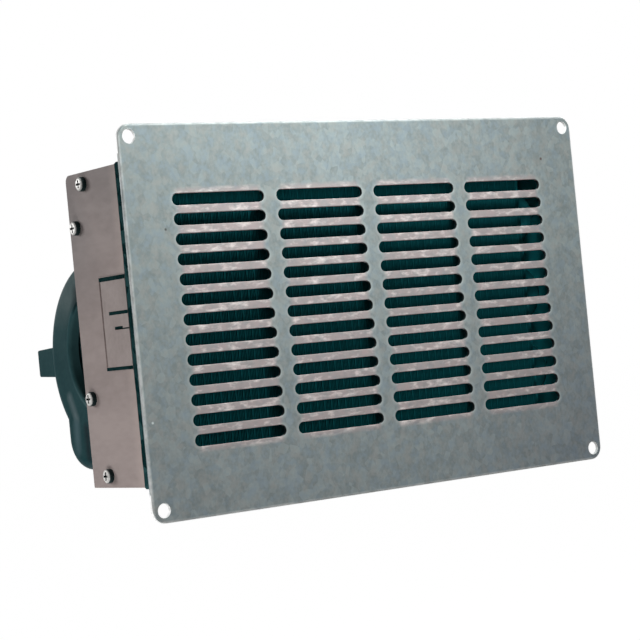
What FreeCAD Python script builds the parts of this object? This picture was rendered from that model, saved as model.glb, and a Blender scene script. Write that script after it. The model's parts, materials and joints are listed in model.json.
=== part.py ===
import FreeCAD
import Part
import math
import os

os.makedirs("parts", exist_ok=True)

V = FreeCAD.Vector
TOLERANCE = 1e-6

# Faceplate, seated with its rear face on the bulkhead at Y = 0
PLATE_W = 330.0
PLATE_H = 216.0
PLATE_T = 2.0
PLATE_CORNER_R = 8.0
PLATE_EDGE_R = 1.2
BULKHEAD_HOLE_D = 8.0
BULKHEAD_HOLE_INSET = 7.0
SLOT_COLUMNS = 4
SLOT_ROWS = 13
SLOT_LENGTH = 60.5
SLOT_HEIGHT = 6.5
SLOT_PITCH_X = 69.3
SLOT_PITCH_Z = 11.0
SLOT_EDGE_R = 0.5

# Sheet casing
PLATE_MARGIN_X = 10.5
PLATE_MARGIN_Z = 19.0
CASE_DEPTH = 77.4
SHEET_T = 1.2
FLANGE_LENGTH = 12.0
BEND_R = 4.0
LOWER_CORNER_R = 0.8
CORNER_GAP = 0.5
TAB_DEPTH = 26.0
TAB_HEIGHT = 14.0
REAR_FOLD_DEPTH = 15.0
REAR_FOLD_HEIGHT = 140.0
SEAL_WIDTH = 21.3
SEAL_T = 1.0
SEAL_EDGE_R = 0.9

# Screws, rivets, studs and nuts
SCREW_D = 4.2
SCREW_LENGTH = 9.5
HEAD_D = 8.2
HEAD_H = 3.2
HEAD_EDGE_R = 1.5
RECESS_W = 1.1
RECESS_L = 4.8
RECESS_DEPTH = 1.5
HOLE_CLEAR = 0.15
THREAD_CLEAR = 0.05
TIP_SHARE = 0.2
CUT_OVERRUN = 1.0
TAB_SCREW_FROM_REAR = 19.4
TAB_SCREW_FROM_EDGE = 6.7
FOLD_SCREW_FROM_REAR = 8.0
FOLD_SCREW_UP_Z = 58.5
FOLD_SCREW_LOW_Z = -38.5
RIVET_D = 3.2
RIVET_HEAD_D = 6.4
RIVET_HEAD_H = 1.2
RIVET_HEAD_R = 0.9
RIVET_BULB_D = 4.8
RIVET_BULB_H = 2.4
REAR_RIVET_FROM_SIDE = 20.5
REAR_RIVET_FROM_EDGE = 6.0
STUD_D = 4.0
STUD_LENGTH = 9.0
STUD_FROM_SIDE = 54.5
STUD_FROM_EDGE = 7.8
NUT_SIDES = 6
NUT_FLATS = 7.0
NUT_H = 3.2

# Blank rating plate on the left side
LABEL_W = 28.6
LABEL_H = 52.8
LABEL_T = 0.4
LABEL_GAP = 0.3
LABEL_Z = 2.4

# Hot-water core
CORE_FRONT_GAP = 8.0
CORE_DEPTH = 42.0
CORE_MARGIN_Z = 12.8
LEFT_BEND_ROOM = 18.0
PIPE_ROOM = 30.0
FIN_T = 0.5
FIN_PITCH = 5.0
COLLAR_T = 0.8
TUBE_D = 9.5
TUBE_WALL = 0.6
TUBE_ROWS = 6
TUBE_FROM_EDGE = 15.0
TUBE_PITCH_Y = 22.0
TUBE_CLEAR = 0.05
TUBE_STUB = 2.0
SHEET_FOOT = 12.0
SHEET_EDGE_GAP = 2.0
CORE_RIVET_Y = 27.0
CORE_RIVET_PITCH = 14.0
PIPE_D = 14.0
PIPE_WALL = 1.0
PIPE_BEND_R = 11.0
PIPE_LEAD = 2.0
SPIGOT_D = 15.9
SPIGOT_LENGTH = 36.0
SPIGOT_CLEAR = 0.03
SPIGOT_TIP = 1.0
SPIGOT_COLLAR_D = 20.0
SPIGOT_COLLAR_T = 2.0
SPIGOT_GAP = 0.5
PIPE_SET_BACK = 3.0
GROMMET_D = 24.0
GROMMET_NECK = 2.4
GROMMET_LIP = 2.0

# Blower scrolls, one on each side of the motor
SCROLL_IN_X = 37.0
SCROLL_FROM_SIDE = 45.9
SHELL_WALL = 2.2
SHELL_ROUND = 9.0
SHELL_INNER_ROUND = 4.0
DRUM_R = 62.2
DRUM_Z = -15.0
DRUM_GAP = 0.4
CHUTE_REACH = 49.3
CHUTE_RISE = 5.0
CHUTE_HEIGHT = 39.0
CHUTE_CORNER_R = 20.0
COVER_DEPTH = 12.0
EYE_R = 37.0
EYE_LIP_T = 3.2
EYE_LIP_DEPTH = 7.0
EYE_ROUND = 2.4
MOTOR_SIDE_EYE_R = 14.0
SCROLL_FLANGE_T = 2.5
SCROLL_FLANGE_W = 9.0
FLANGE_SCREW_INSET = 11.0
GASKET_T = 1.5
LUG_OUT = 19.5
LUG_HEIGHT = 19.0
LUG_TAPER = 1.1
LUG_BACK = 8.0
LUG_STEP = 3.7
LUG_EDGE_R = 1.5
LUG_FLOOR = 2.0
LUG_SCREW_OUT = 11.0
TOP_LUG_ANGLE = 125.0
TOP_LUG_OUT = 11.0
TOP_LUG_HEIGHT = 12.0
LUG_ROOT = 4.0
LUG_SCREW_D = 3.5
LUG_HEAD_D = 6.8
LUG_HEAD_H = 2.4
LUG_TIP_GAP = 0.3

# Rotor
AXIS_FROM_DRUM_Y = -2.7
AXIS_FROM_DRUM_Z = 3.5
WHEEL_R = 42.0
WHEEL_FROM_EYE = 1.8
WHEEL_FROM_WALL = 5.0
BLADE_COUNT = 32
BLADE_DEPTH = 7.0
BLADE_T = 1.2
BLADE_SWEEP = 8.0
BLADE_BOW = 0.8
BLADE_INSET = 0.3
WHEEL_RING_L = 4.0
WHEEL_DISC_T = 2.4
HUB_R = 9.0
HUB_LENGTH = 20.0
SHAFT_D = 6.0
SHAFT_OVERRUN = 2.0
HUB_CLEAR = 0.02
GRUB_D = 4.0
GRUB_FROM_DISC = 12.0
GRUB_SINK = 0.5

# Motor
MOTOR_R = 29.0
MOTOR_LENGTH = 52.0
CAN_WALL = 1.6
CAP_T = 3.0
CAP_EDGE_R = 1.5
CAP_BOSS_R = 9.0
CAP_BOSS_L = 5.0
BUSH_R = 6.0
BUSH_CLEAR = 0.03
BUSH_SEAT_CLEAR = 0.02
MAGNET_T = 3.9
MAGNET_LENGTH = 36.0
MAGNET_SPAN = 130.0
MAGNET_CLEAR = 0.05
AIR_GAP = 1.5
ARMATURE_LENGTH = 28.0
ARMATURE_SLOTS = 12
ARMATURE_SLOT_W = 3.0
ARMATURE_SLOT_DEPTH = 7.0
WINDING_LENGTH = 4.0
WINDING_R = 19.0
WINDING_ROUND = 2.4
COMMUTATOR_R = 8.0
COMMUTATOR_LENGTH = 5.4
BRUSH_GAP = 0.3
BRUSH_LENGTH = 8.0
BRUSH_W = 5.0
BRUSH_T = 4.0
BRUSH_CLEAR = 0.1
GUIDE_WALL = 1.4
GUIDE_LENGTH = 7.0
CARD_T = 2.0
CARD_HOLE_R = 12.0

# Motor saddle and strap
SADDLE_W = 48.0
SADDLE_H = 72.0
SADDLE_BASE_T = 5.0
SADDLE_CORNER_R = 4.0
WINDOW_SILL = 3.0
WINDOW_HEAD = 5.0
PEDESTAL_W = 28.0
PEDESTAL_H = 44.0
PEDESTAL_REACH = 12.0
SADDLE_LEG = 8.0
SADDLE_CLEAR = 0.05
SADDLE_SCREW_INSET_X = 5.0
SADDLE_SCREW_INSET_Z = 6.0
EAR_W = 20.0
EAR_T = 8.0
EAR_SPAN = 84.0
STRAP_W = 14.0
STRAP_T = 1.2
STRAP_LEG = 16.0
STRAP_FOOT = 12.0

# Terminal block and motor leads
BLOCK_W = 64.0
BLOCK_H = 18.0
BLOCK_DEPTH = 14.0
BLOCK_FROM_TOP = 24.0
BLOCK_RIBS = 4
BLOCK_RIB_T = 1.6
BLOCK_RIB_DEPTH = 4.0
BLOCK_RIB_PITCH = 14.0
BLOCK_SCREW_INSET = 5.0
TERMINAL_D = 6.0
TERMINAL_H = 2.4
TERMINAL_SHANK_D = 3.4
TERMINAL_SHANK_L = 6.0
LEAD_D = 3.2
LEAD_X = 14.0
LEAD_TAIL = 2.5
LEAD_RISE = 4.0
LEAD_FROM_PANEL = 7.0

# Sizes that follow from the values above
HALF_W = PLATE_W / 2.0 - PLATE_MARGIN_X
HALF_H = PLATE_H / 2.0 - PLATE_MARGIN_Z
REAR_Y = CASE_DEPTH + SHEET_T
INNER_X = HALF_W - SHEET_T
INNER_Z = HALF_H - SHEET_T
SCREW_R = SCREW_D / 2.0
SCREW_HOLE_R = SCREW_R + HOLE_CLEAR
RIVET_HOLE_R = RIVET_D / 2.0 + HOLE_CLEAR
STUD_HOLE_R = STUD_D / 2.0 + HOLE_CLEAR
TAB_SCREW_Y = CASE_DEPTH - TAB_SCREW_FROM_REAR
TAB_SCREW_Z = HALF_H - TAB_SCREW_FROM_EDGE
FOLD_SCREW_Y = CASE_DEPTH - FOLD_SCREW_FROM_REAR
REAR_RIVET_X = HALF_W - REAR_RIVET_FROM_SIDE
REAR_RIVET_Z = HALF_H - REAR_RIVET_FROM_EDGE
STUD_PITCH_X = HALF_W - STUD_FROM_SIDE
STUD_Z = HALF_H - STUD_FROM_EDGE
STUD_SIDE_X = HALF_W - STUD_FROM_EDGE
CORE_X0 = -(INNER_X - SHEET_T - LEFT_BEND_ROOM)
CORE_X1 = INNER_X - SHEET_T - PIPE_ROOM
CORE_Y0 = CORE_FRONT_GAP
CORE_Y1 = CORE_FRONT_GAP + CORE_DEPTH
CORE_MID_Y = (CORE_Y0 + CORE_Y1) / 2.0
CORE_HALF_H = INNER_Z - CORE_MARGIN_Z
TUBE_FRONT_Y = CORE_MID_Y - TUBE_PITCH_Y / 2.0
TUBE_REAR_Y = CORE_MID_Y + TUBE_PITCH_Y / 2.0
TUBE_TOP_Z = CORE_HALF_H - TUBE_FROM_EDGE
TUBE_PITCH_Z = 2.0 * TUBE_TOP_Z / (TUBE_ROWS - 1)
TUBE_R = TUBE_D / 2.0
TUBE_INNER_R = TUBE_R - TUBE_WALL
TUBE_HOLE_R = TUBE_R + TUBE_CLEAR
TUBE_LEFT_X = CORE_X0 - SHEET_T - TUBE_STUB
TUBE_RIGHT_X = CORE_X1 + SHEET_T + TUBE_STUB
PIPE_R = PIPE_D / 2.0
PIPE_INNER_R = PIPE_R - PIPE_WALL
PIPE_X = CORE_X1 + SHEET_T + PIPE_LEAD + PIPE_BEND_R
SPIGOT_Y0 = REAR_Y + GROMMET_LIP + SPIGOT_GAP
SPIGOT_Y1 = SPIGOT_Y0 + SPIGOT_LENGTH
PIPE_END_Y = SPIGOT_Y1 - PIPE_SET_BACK
GROMMET_HOLE_R = PIPE_R + GROMMET_NECK
SCROLL_OUT_X = HALF_W - SCROLL_FROM_SIDE
PART_X = SCROLL_OUT_X - COVER_DEPTH
LUG_X0 = PART_X - LUG_BACK
LUG_X1 = SCROLL_OUT_X - LUG_STEP
LUG_HOLE_X1 = LUG_X1 - LUG_FLOOR
LUG_SCREW_LENGTH = LUG_HOLE_X1 - LUG_TIP_GAP - LUG_X0
DRUM_Y = REAR_Y + DRUM_GAP + DRUM_R
FLANGE_Y = REAR_Y + GASKET_T
CHUTE_Z0 = -HALF_H + CHUTE_RISE
CHUTE_Z1 = CHUTE_Z0 + CHUTE_HEIGHT
CHUTE_REAR_Y = DRUM_Y + CHUTE_REACH
FLANGE_X0 = SCROLL_IN_X - SCROLL_FLANGE_W
FLANGE_X1 = SCROLL_OUT_X + SCROLL_FLANGE_W
FLANGE_Z1 = CHUTE_Z1 + SCROLL_FLANGE_W
FLANGE_SCREW_X0 = SCROLL_IN_X - SCROLL_FLANGE_W / 2.0
FLANGE_SCREW_X1 = SCROLL_OUT_X + SCROLL_FLANGE_W / 2.0
FLANGE_SCREW_Z0 = CHUTE_Z0 + FLANGE_SCREW_INSET
FLANGE_SCREW_Z1 = FLANGE_Z1 - FLANGE_SCREW_INSET
AXIS_Y = DRUM_Y + AXIS_FROM_DRUM_Y
AXIS_Z = DRUM_Z + AXIS_FROM_DRUM_Z
WHEEL_X0 = SCROLL_IN_X + SHELL_WALL + WHEEL_FROM_WALL
WHEEL_X1 = SCROLL_OUT_X - EYE_LIP_DEPTH - WHEEL_FROM_EYE
SHAFT_R = SHAFT_D / 2.0
SHAFT_END_X = WHEEL_X0 + HUB_LENGTH + SHAFT_OVERRUN
GRUB_X = WHEEL_X0 + GRUB_FROM_DISC
CAN_X = MOTOR_LENGTH / 2.0
CAN_INNER_R = MOTOR_R - CAN_WALL
MAGNET_OUTER_R = CAN_INNER_R - MAGNET_CLEAR
ARMATURE_R = MAGNET_OUTER_R - MAGNET_T - AIR_GAP
ARMATURE_X = ARMATURE_LENGTH / 2.0
WINDING_X = ARMATURE_X + WINDING_LENGTH
CARD_X = CAN_X - CARD_T
BRUSH_X = CARD_X - BRUSH_CLEAR - BRUSH_T / 2.0
SADDLE_R = MOTOR_R + SADDLE_CLEAR
STRAP_R = SADDLE_R + STRAP_T
EAR_Y = AXIS_Y - STRAP_LEG - STRAP_T
STRAP_SCREW_Z = SADDLE_R + STRAP_FOOT / 2.0 + STRAP_T
SADDLE_SCREW_X = SADDLE_W / 2.0 - SADDLE_SCREW_INSET_X
SADDLE_SCREW_Z = SADDLE_H / 2.0 - SADDLE_SCREW_INSET_Z
BLOCK_SCREW_X = BLOCK_W / 2.0 - BLOCK_SCREW_INSET
BLOCK_Z = HALF_H - BLOCK_FROM_TOP
LEAD_Z0 = AXIS_Z + MOTOR_R
LEAD_Z1 = BLOCK_Z - BLOCK_H / 2.0
LEAD_BEND_R = (LEAD_Z1 - LEAD_Z0 - LEAD_RISE - LEAD_TAIL) / 2.0


def box(x0, x1, y0, y1, z0, z1):
    return Part.makeBox(x1 - x0, y1 - y0, z1 - z0, V(x0, y0, z0))


def rod_x(radius, x0, x1, y, z):
    return Part.makeCylinder(radius, x1 - x0, V(x0, y, z), V(1, 0, 0))


def rod_y(radius, y0, y1, x, z):
    return Part.makeCylinder(radius, y1 - y0, V(x, y0, z), V(0, 1, 0))


def rod_z(radius, z0, z1, x, y):
    return Part.makeCylinder(radius, z1 - z0, V(x, y, z0), V(0, 0, 1))


def near(a, b):
    return abs(a - b) < TOLERANCE


def edges_where(shape, test):
    return [edge for edge in shape.Edges if all(test(vertex.Point) for vertex in edge.Vertexes)]


def mirrored(shape):
    return shape.mirror(V(0, 0, 0), V(1, 0, 0))


def placed(shape, base, direction):
    copy = shape.copy()
    copy.Placement = FreeCAD.Placement(base, FreeCAD.Rotation(V(0, 0, 1), direction))
    return copy


def turned(shape, angle):
    copy = shape.copy()
    copy.rotate(V(0, AXIS_Y, AXIS_Z), V(1, 0, 0), angle)
    return copy


def export(name, solids):
    shape = solids[0] if len(solids) == 1 else Part.makeCompound(solids)
    shape.exportStep("parts/" + name + ".step")


def pan_screw(head_d, head_h, shank_d, length):
    head = Part.makeCylinder(head_d / 2.0, head_h, V(0, 0, -head_h))
    rim = edges_where(head, lambda p: near(p.z, -head_h))
    head = head.makeFillet(HEAD_EDGE_R, rim)
    arm = RECESS_L / 2.0
    half = RECESS_W / 2.0
    floor = -head_h + RECESS_DEPTH
    first = box(-arm, arm, -half, half, -head_h, floor)
    second = box(-half, half, -arm, arm, -head_h, floor)
    head = head.cut([first, second])
    shank = Part.makeCylinder(shank_d / 2.0, length)
    tip = edges_where(shank, lambda p: near(p.z, length))
    shank = shank.makeChamfer(shank_d * TIP_SHARE, tip)
    return head.fuse(shank).removeSplitter()


def blind_rivet(grip):
    head = Part.makeCylinder(RIVET_HEAD_D / 2.0, RIVET_HEAD_H, V(0, 0, -RIVET_HEAD_H))
    rim = edges_where(head, lambda p: near(p.z, -RIVET_HEAD_H))
    head = head.makeFillet(RIVET_HEAD_R, rim)
    shank = Part.makeCylinder(RIVET_D / 2.0, grip + RIVET_BULB_H)
    bulb = Part.makeCylinder(RIVET_BULB_D / 2.0, RIVET_BULB_H, V(0, 0, grip))
    return head.fuse([shank, bulb]).removeSplitter()


casing_screw = pan_screw(HEAD_D, HEAD_H, SCREW_D, SCREW_LENGTH)
lug_screw = pan_screw(LUG_HEAD_D, LUG_HEAD_H, LUG_SCREW_D, LUG_SCREW_LENGTH)
sheet_rivet = blind_rivet(2.0 * SHEET_T)


# Faceplate: rounded corners, softened front edge, rows of stadium slots
def faceplate():
    plate = box(-PLATE_W / 2.0, PLATE_W / 2.0, -PLATE_T, 0.0, -PLATE_H / 2.0, PLATE_H / 2.0)
    corners = [e for e in plate.Edges if near(e.Vertexes[0].X, e.Vertexes[1].X)]
    corners = [e for e in corners if near(e.Vertexes[0].Z, e.Vertexes[1].Z)]
    plate = plate.makeFillet(PLATE_CORNER_R, corners)
    rim = edges_where(plate, lambda p: near(p.y, -PLATE_T))
    plate = plate.makeFillet(PLATE_EDGE_R, rim)
    cutters = []
    end_r = SLOT_HEIGHT / 2.0
    reach = SLOT_LENGTH / 2.0 - end_r
    for column in range(SLOT_COLUMNS):
        x = (column - (SLOT_COLUMNS - 1) / 2.0) * SLOT_PITCH_X
        for row in range(SLOT_ROWS):
            z = (row - (SLOT_ROWS - 1) / 2.0) * SLOT_PITCH_Z
            a = V(x - reach, -PLATE_T, z + end_r)
            b = V(x + reach, -PLATE_T, z + end_r)
            c = V(x + reach, -PLATE_T, z - end_r)
            d = V(x - reach, -PLATE_T, z - end_r)
            right = Part.Arc(b, V(x + reach + end_r, -PLATE_T, z), c).toShape()
            left = Part.Arc(d, V(x - reach - end_r, -PLATE_T, z), a).toShape()
            wire = Part.Wire([Part.makeLine(a, b), right, Part.makeLine(c, d), left])
            cutters.append(Part.Face(wire).extrude(V(0, PLATE_T, 0)))
    plate = plate.cut(cutters)
    flat_x = PLATE_W / 2.0 - PLATE_CORNER_R
    flat_z = PLATE_H / 2.0 - PLATE_CORNER_R
    front = edges_where(plate, lambda p: near(p.y, -PLATE_T))
    inside = []
    for edge in front:
        where = edge.BoundBox
        in_x = max(abs(where.XMin), abs(where.XMax)) < flat_x
        in_z = max(abs(where.ZMin), abs(where.ZMax)) < flat_z
        if in_x and in_z:
            inside.append(edge)
    plate = plate.makeFillet(SLOT_EDGE_R, inside)
    holes = []
    for sx in (-1, 1):
        for sz in (-1, 1):
            x = sx * (PLATE_W / 2.0 - BULKHEAD_HOLE_INSET)
            z = sz * (PLATE_H / 2.0 - BULKHEAD_HOLE_INSET)
            holes.append(rod_y(BULKHEAD_HOLE_D / 2.0, -PLATE_T, 0.0, x, z))
    return plate.cut(holes)


export("faceplate", [faceplate()])


# Weld studs on the rear of the faceplate, and their nuts inside the casing flanges
stud_places = [(i * STUD_PITCH_X, s * STUD_Z) for i in (-1, 0, 1) for s in (-1, 1)]
stud_places += [(-STUD_SIDE_X, 0.0), (STUD_SIDE_X, 0.0)]
studs = [rod_y(STUD_D / 2.0, 0.0, STUD_LENGTH, x, z) for x, z in stud_places]
export("faceplate_studs", studs)

nuts = []
for x, z in stud_places:
    circle = NUT_FLATS / math.sqrt(3.0)
    points = []
    for k in range(NUT_SIDES + 1):
        angle = math.radians(360.0 * k / NUT_SIDES)
        points.append(V(x + circle * math.cos(angle), SHEET_T, z + circle * math.sin(angle)))
    nut = Part.Face(Part.makePolygon(points)).extrude(V(0, NUT_H, 0))
    bore = rod_y(STUD_D / 2.0 + THREAD_CLEAR, SHEET_T, SHEET_T + NUT_H, x, z)
    nuts.append(nut.cut(bore))
export("stud_nuts", nuts)


# Side panels: flat sheet with a front flange
side_screw_places = [
    (TAB_SCREW_Y, TAB_SCREW_Z),
    (TAB_SCREW_Y, -TAB_SCREW_Z),
    (FOLD_SCREW_Y, FOLD_SCREW_UP_Z),
    (FOLD_SCREW_Y, FOLD_SCREW_LOW_Z),
]


def side_panel():
    sheet = box(INNER_X, HALF_W, 0.0, CASE_DEPTH, -HALF_H, HALF_H)
    corners = [e for e in sheet.Edges if near(e.Vertexes[0].Y, e.Vertexes[1].Y)]
    corners = [e for e in corners if near(e.Vertexes[0].Z, e.Vertexes[1].Z)]
    upper = [e for e in corners if e.Vertexes[0].Z > 0]
    sheet = sheet.makeFillet(BEND_R, upper)
    lower = edges_where(sheet, lambda p: near(p.y, CASE_DEPTH) and near(p.z, -HALF_H))
    sheet = sheet.makeFillet(LOWER_CORNER_R, lower)
    reach = HALF_H - FLANGE_LENGTH - CORNER_GAP
    flange = box(HALF_W - FLANGE_LENGTH, HALF_W, 0.0, SHEET_T, -reach, reach)
    panel = sheet.fuse(flange).removeSplitter()
    holes = [rod_x(SCREW_HOLE_R, INNER_X, HALF_W, y, z) for y, z in side_screw_places]
    holes.append(rod_y(STUD_HOLE_R, 0.0, SHEET_T, STUD_SIDE_X, 0.0))
    return panel.cut(holes)


right_panel = side_panel()
export("right_side_panel", [right_panel])
export("left_side_panel", [mirrored(right_panel)])

screws = []
for y, z in side_screw_places:
    screws.append(placed(casing_screw, V(HALF_W, y, z), V(-1, 0, 0)))
    screws.append(placed(casing_screw, V(-HALF_W, y, z), V(1, 0, 0)))
export("side_screws", screws)


# Top and bottom channels: front and rear flanges, screw tabs at both ends
core_rivet_x = [CORE_X0 - SHEET_T - SHEET_FOOT / 2.0, CORE_X1 + SHEET_T + SHEET_FOOT / 2.0]
core_rivet_y = [CORE_RIVET_Y, CORE_RIVET_Y + CORE_RIVET_PITCH]


def channel(sign):
    low = HALF_H - FLANGE_LENGTH
    outer = box(-INNER_X, INNER_X, 0.0, CASE_DEPTH, low, HALF_H)
    top = edges_where(outer, lambda p: near(p.z, HALF_H))
    long_top = [e for e in top if near(e.Vertexes[0].Y, e.Vertexes[1].Y)]
    outer = outer.makeFillet(BEND_R, long_top)
    inner = box(-INNER_X, INNER_X, SHEET_T, CASE_DEPTH - SHEET_T, low, INNER_Z)
    top = edges_where(inner, lambda p: near(p.z, INNER_Z))
    long_top = [e for e in top if near(e.Vertexes[0].Y, e.Vertexes[1].Y)]
    inner = inner.makeFillet(BEND_R - SHEET_T, long_top)
    sheet = outer.cut(inner)
    tab_y0 = TAB_SCREW_Y - TAB_DEPTH / 2.0
    tab_y1 = TAB_SCREW_Y + TAB_DEPTH / 2.0
    tabs = []
    for s in (-1, 1):
        xs = sorted((s * INNER_X, s * (INNER_X - SHEET_T)))
        tab = box(xs[0], xs[1], tab_y0, tab_y1, HALF_H - TAB_HEIGHT, HALF_H - SHEET_T / 2.0)
        hole = rod_x(SCREW_HOLE_R, xs[0], xs[1], TAB_SCREW_Y, TAB_SCREW_Z)
        tabs.append(tab.cut(hole))
    sheet = sheet.fuse(tabs).removeSplitter()
    holes = []
    for i in (-1, 0, 1):
        holes.append(rod_y(STUD_HOLE_R, 0.0, SHEET_T, i * STUD_PITCH_X, STUD_Z))
        holes.append(rod_y(RIVET_HOLE_R, CASE_DEPTH - SHEET_T, CASE_DEPTH, i * REAR_RIVET_X, REAR_RIVET_Z))
    for x in core_rivet_x:
        for y in core_rivet_y:
            holes.append(rod_z(RIVET_HOLE_R, INNER_Z, HALF_H, x, y))
    sheet = sheet.cut(holes)
    if sign > 0:
        return sheet
    sheet = sheet.mirror(V(0, 0, 0), V(0, 0, 1))
    notches = []
    for s in (-1, 1):
        xs = sorted((s * SCROLL_IN_X, s * SCROLL_OUT_X))
        floor = CHUTE_Z0 + SHELL_WALL
        notches.append(box(xs[0], xs[1], CASE_DEPTH - SHEET_T, CASE_DEPTH, floor, -low))
    return sheet.cut(notches)


export("top_channel", [channel(1)])
export("bottom_channel", [channel(-1)])


# Rear panel: side folds, blower outlets, pipe holes
def outlet_hole(y0, y1):
    x0 = SCROLL_IN_X + SHELL_WALL
    x1 = SCROLL_OUT_X - SHELL_WALL
    return box(x0, x1, y0, y1, CHUTE_Z0 + SHELL_WALL, CHUTE_Z1 - SHELL_WALL)


flange_screw_places = []
for fx in (FLANGE_SCREW_X0, FLANGE_SCREW_X1):
    for fz in (FLANGE_SCREW_Z0, FLANGE_SCREW_Z1):
        flange_screw_places.append((fx, fz))
        flange_screw_places.append((-fx, fz))
saddle_screw_places = []
for sx in (-1, 1):
    for sz in (-1, 1):
        saddle_screw_places.append((sx * SADDLE_SCREW_X, AXIS_Z + sz * SADDLE_SCREW_Z))
block_screw_places = [(-BLOCK_SCREW_X, BLOCK_Z), (BLOCK_SCREW_X, BLOCK_Z)]


def rear_panel():
    edge_z = HALF_H - BEND_R
    sheet = box(-INNER_X, INNER_X, CASE_DEPTH, REAR_Y, -edge_z, edge_z)
    half = REAR_FOLD_HEIGHT / 2.0
    folds = []
    for s in (-1, 1):
        xs = sorted((s * INNER_X, s * (INNER_X - SHEET_T)))
        fold = box(xs[0], xs[1], REAR_Y - REAR_FOLD_DEPTH, REAR_Y, -half, half)
        for z in (FOLD_SCREW_UP_Z, FOLD_SCREW_LOW_Z):
            fold = fold.cut(rod_x(SCREW_HOLE_R, xs[0], xs[1], FOLD_SCREW_Y, z))
        folds.append(fold)
    sheet = sheet.fuse(folds).removeSplitter()
    opening = outlet_hole(CASE_DEPTH, REAR_Y)
    cutters = [opening, mirrored(opening)]
    for x, z in flange_screw_places + saddle_screw_places + block_screw_places:
        cutters.append(rod_y(SCREW_HOLE_R, CASE_DEPTH, REAR_Y, x, z))
    for s in (-1, 1):
        cutters.append(rod_y(GROMMET_HOLE_R, CASE_DEPTH, REAR_Y, PIPE_X, s * TUBE_TOP_Z))
        for i in (-1, 0, 1):
            cutters.append(rod_y(RIVET_HOLE_R, CASE_DEPTH, REAR_Y, i * REAR_RIVET_X, s * REAR_RIVET_Z))
    return sheet.cut(cutters)


export("rear_panel", [rear_panel()])

rivets = []
for s in (-1, 1):
    for i in (-1, 0, 1):
        rivets.append(placed(sheet_rivet, V(i * REAR_RIVET_X, REAR_Y, s * REAR_RIVET_Z), V(0, -1, 0)))
export("rear_rivets", rivets)


# Foam seal strip round the casing, right behind the faceplate
out_x = HALF_W + SEAL_T
out_z = HALF_H + SEAL_T
strip = box(-out_x, out_x, 0.0, SEAL_WIDTH, -out_z, out_z)
strip_edges = [e for e in strip.Edges if near(e.Length, SEAL_WIDTH)]
strip = strip.makeFillet(SEAL_EDGE_R, strip_edges)
strip = strip.cut(box(-HALF_W, HALF_W, 0.0, SEAL_WIDTH, -HALF_H, HALF_H))
export("seal_strip", [strip])


# Blank rating plate
label_y0 = SEAL_WIDTH + LABEL_GAP
label_z0 = LABEL_Z - LABEL_H / 2.0
label = box(-HALF_W - LABEL_T, -HALF_W, label_y0, label_y0 + LABEL_W, label_z0, label_z0 + LABEL_H)
export("rating_plate", [label])


# Core tubes: two columns of straight tubes
tube_rows = [TUBE_TOP_Z - TUBE_PITCH_Z * k for k in range(TUBE_ROWS)]
tube_places = [(y, z) for z in tube_rows for y in (TUBE_FRONT_Y, TUBE_REAR_Y)]
tubes = []
for y, z in tube_places:
    tube = rod_x(TUBE_R, TUBE_LEFT_X, TUBE_RIGHT_X, y, z)
    tubes.append(tube.cut(rod_x(TUBE_INNER_R, TUBE_LEFT_X, TUBE_RIGHT_X, y, z)))
export("core_tubes", tubes)


def ring_face(x, y, z, normal, outer_r, inner_r):
    outer = Part.Wire(Part.makeCircle(outer_r, V(x, y, z), normal))
    inner = Part.Wire(Part.makeCircle(inner_r, V(x, y, z), normal))
    return Part.Face([outer, inner])


# Return bends: row by row at the left, column by column at the right
bends = []
for z in tube_rows:
    ring = ring_face(TUBE_LEFT_X, TUBE_REAR_Y, z, V(1, 0, 0), TUBE_R, TUBE_INNER_R)
    bends.append(ring.revolve(V(TUBE_LEFT_X, CORE_MID_Y, z), V(0, 0, 1), 180))
for k in range(TUBE_ROWS - 1):
    y = TUBE_FRONT_Y if k % 2 == 0 else TUBE_REAR_Y
    middle = tube_rows[k] - TUBE_PITCH_Z / 2.0
    ring = ring_face(TUBE_RIGHT_X, y, tube_rows[k], V(1, 0, 0), TUBE_R, TUBE_INNER_R)
    bends.append(ring.revolve(V(TUBE_RIGHT_X, y, middle), V(0, 1, 0), 180))
export("core_return_bends", bends)


# Fin pack: thin fins joined by the collars round the tubes
def fin_pack():
    count = int((CORE_X1 - CORE_X0 - FIN_T) / FIN_PITCH)
    span = count * FIN_PITCH + FIN_T
    start = (CORE_X0 + CORE_X1 - span) / 2.0
    half = CORE_HALF_H
    holes = [rod_x(TUBE_HOLE_R, start, start + FIN_T, y, z) for y, z in tube_places]
    fin = box(start, start + FIN_T, CORE_Y0, CORE_Y1, -half, half).cut(holes)
    fins = []
    for k in range(count + 1):
        copy = fin.copy()
        copy.translate(V(k * FIN_PITCH, 0, 0))
        fins.append(copy)
    collars = []
    for y, z in tube_places:
        collar = rod_x(TUBE_HOLE_R + COLLAR_T, start, start + span, y, z)
        collars.append(collar.cut(rod_x(TUBE_HOLE_R, start, start + span, y, z)))
    return collars[0].fuse(collars[1:] + fins)


export("core_fins", [fin_pack()])


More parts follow.
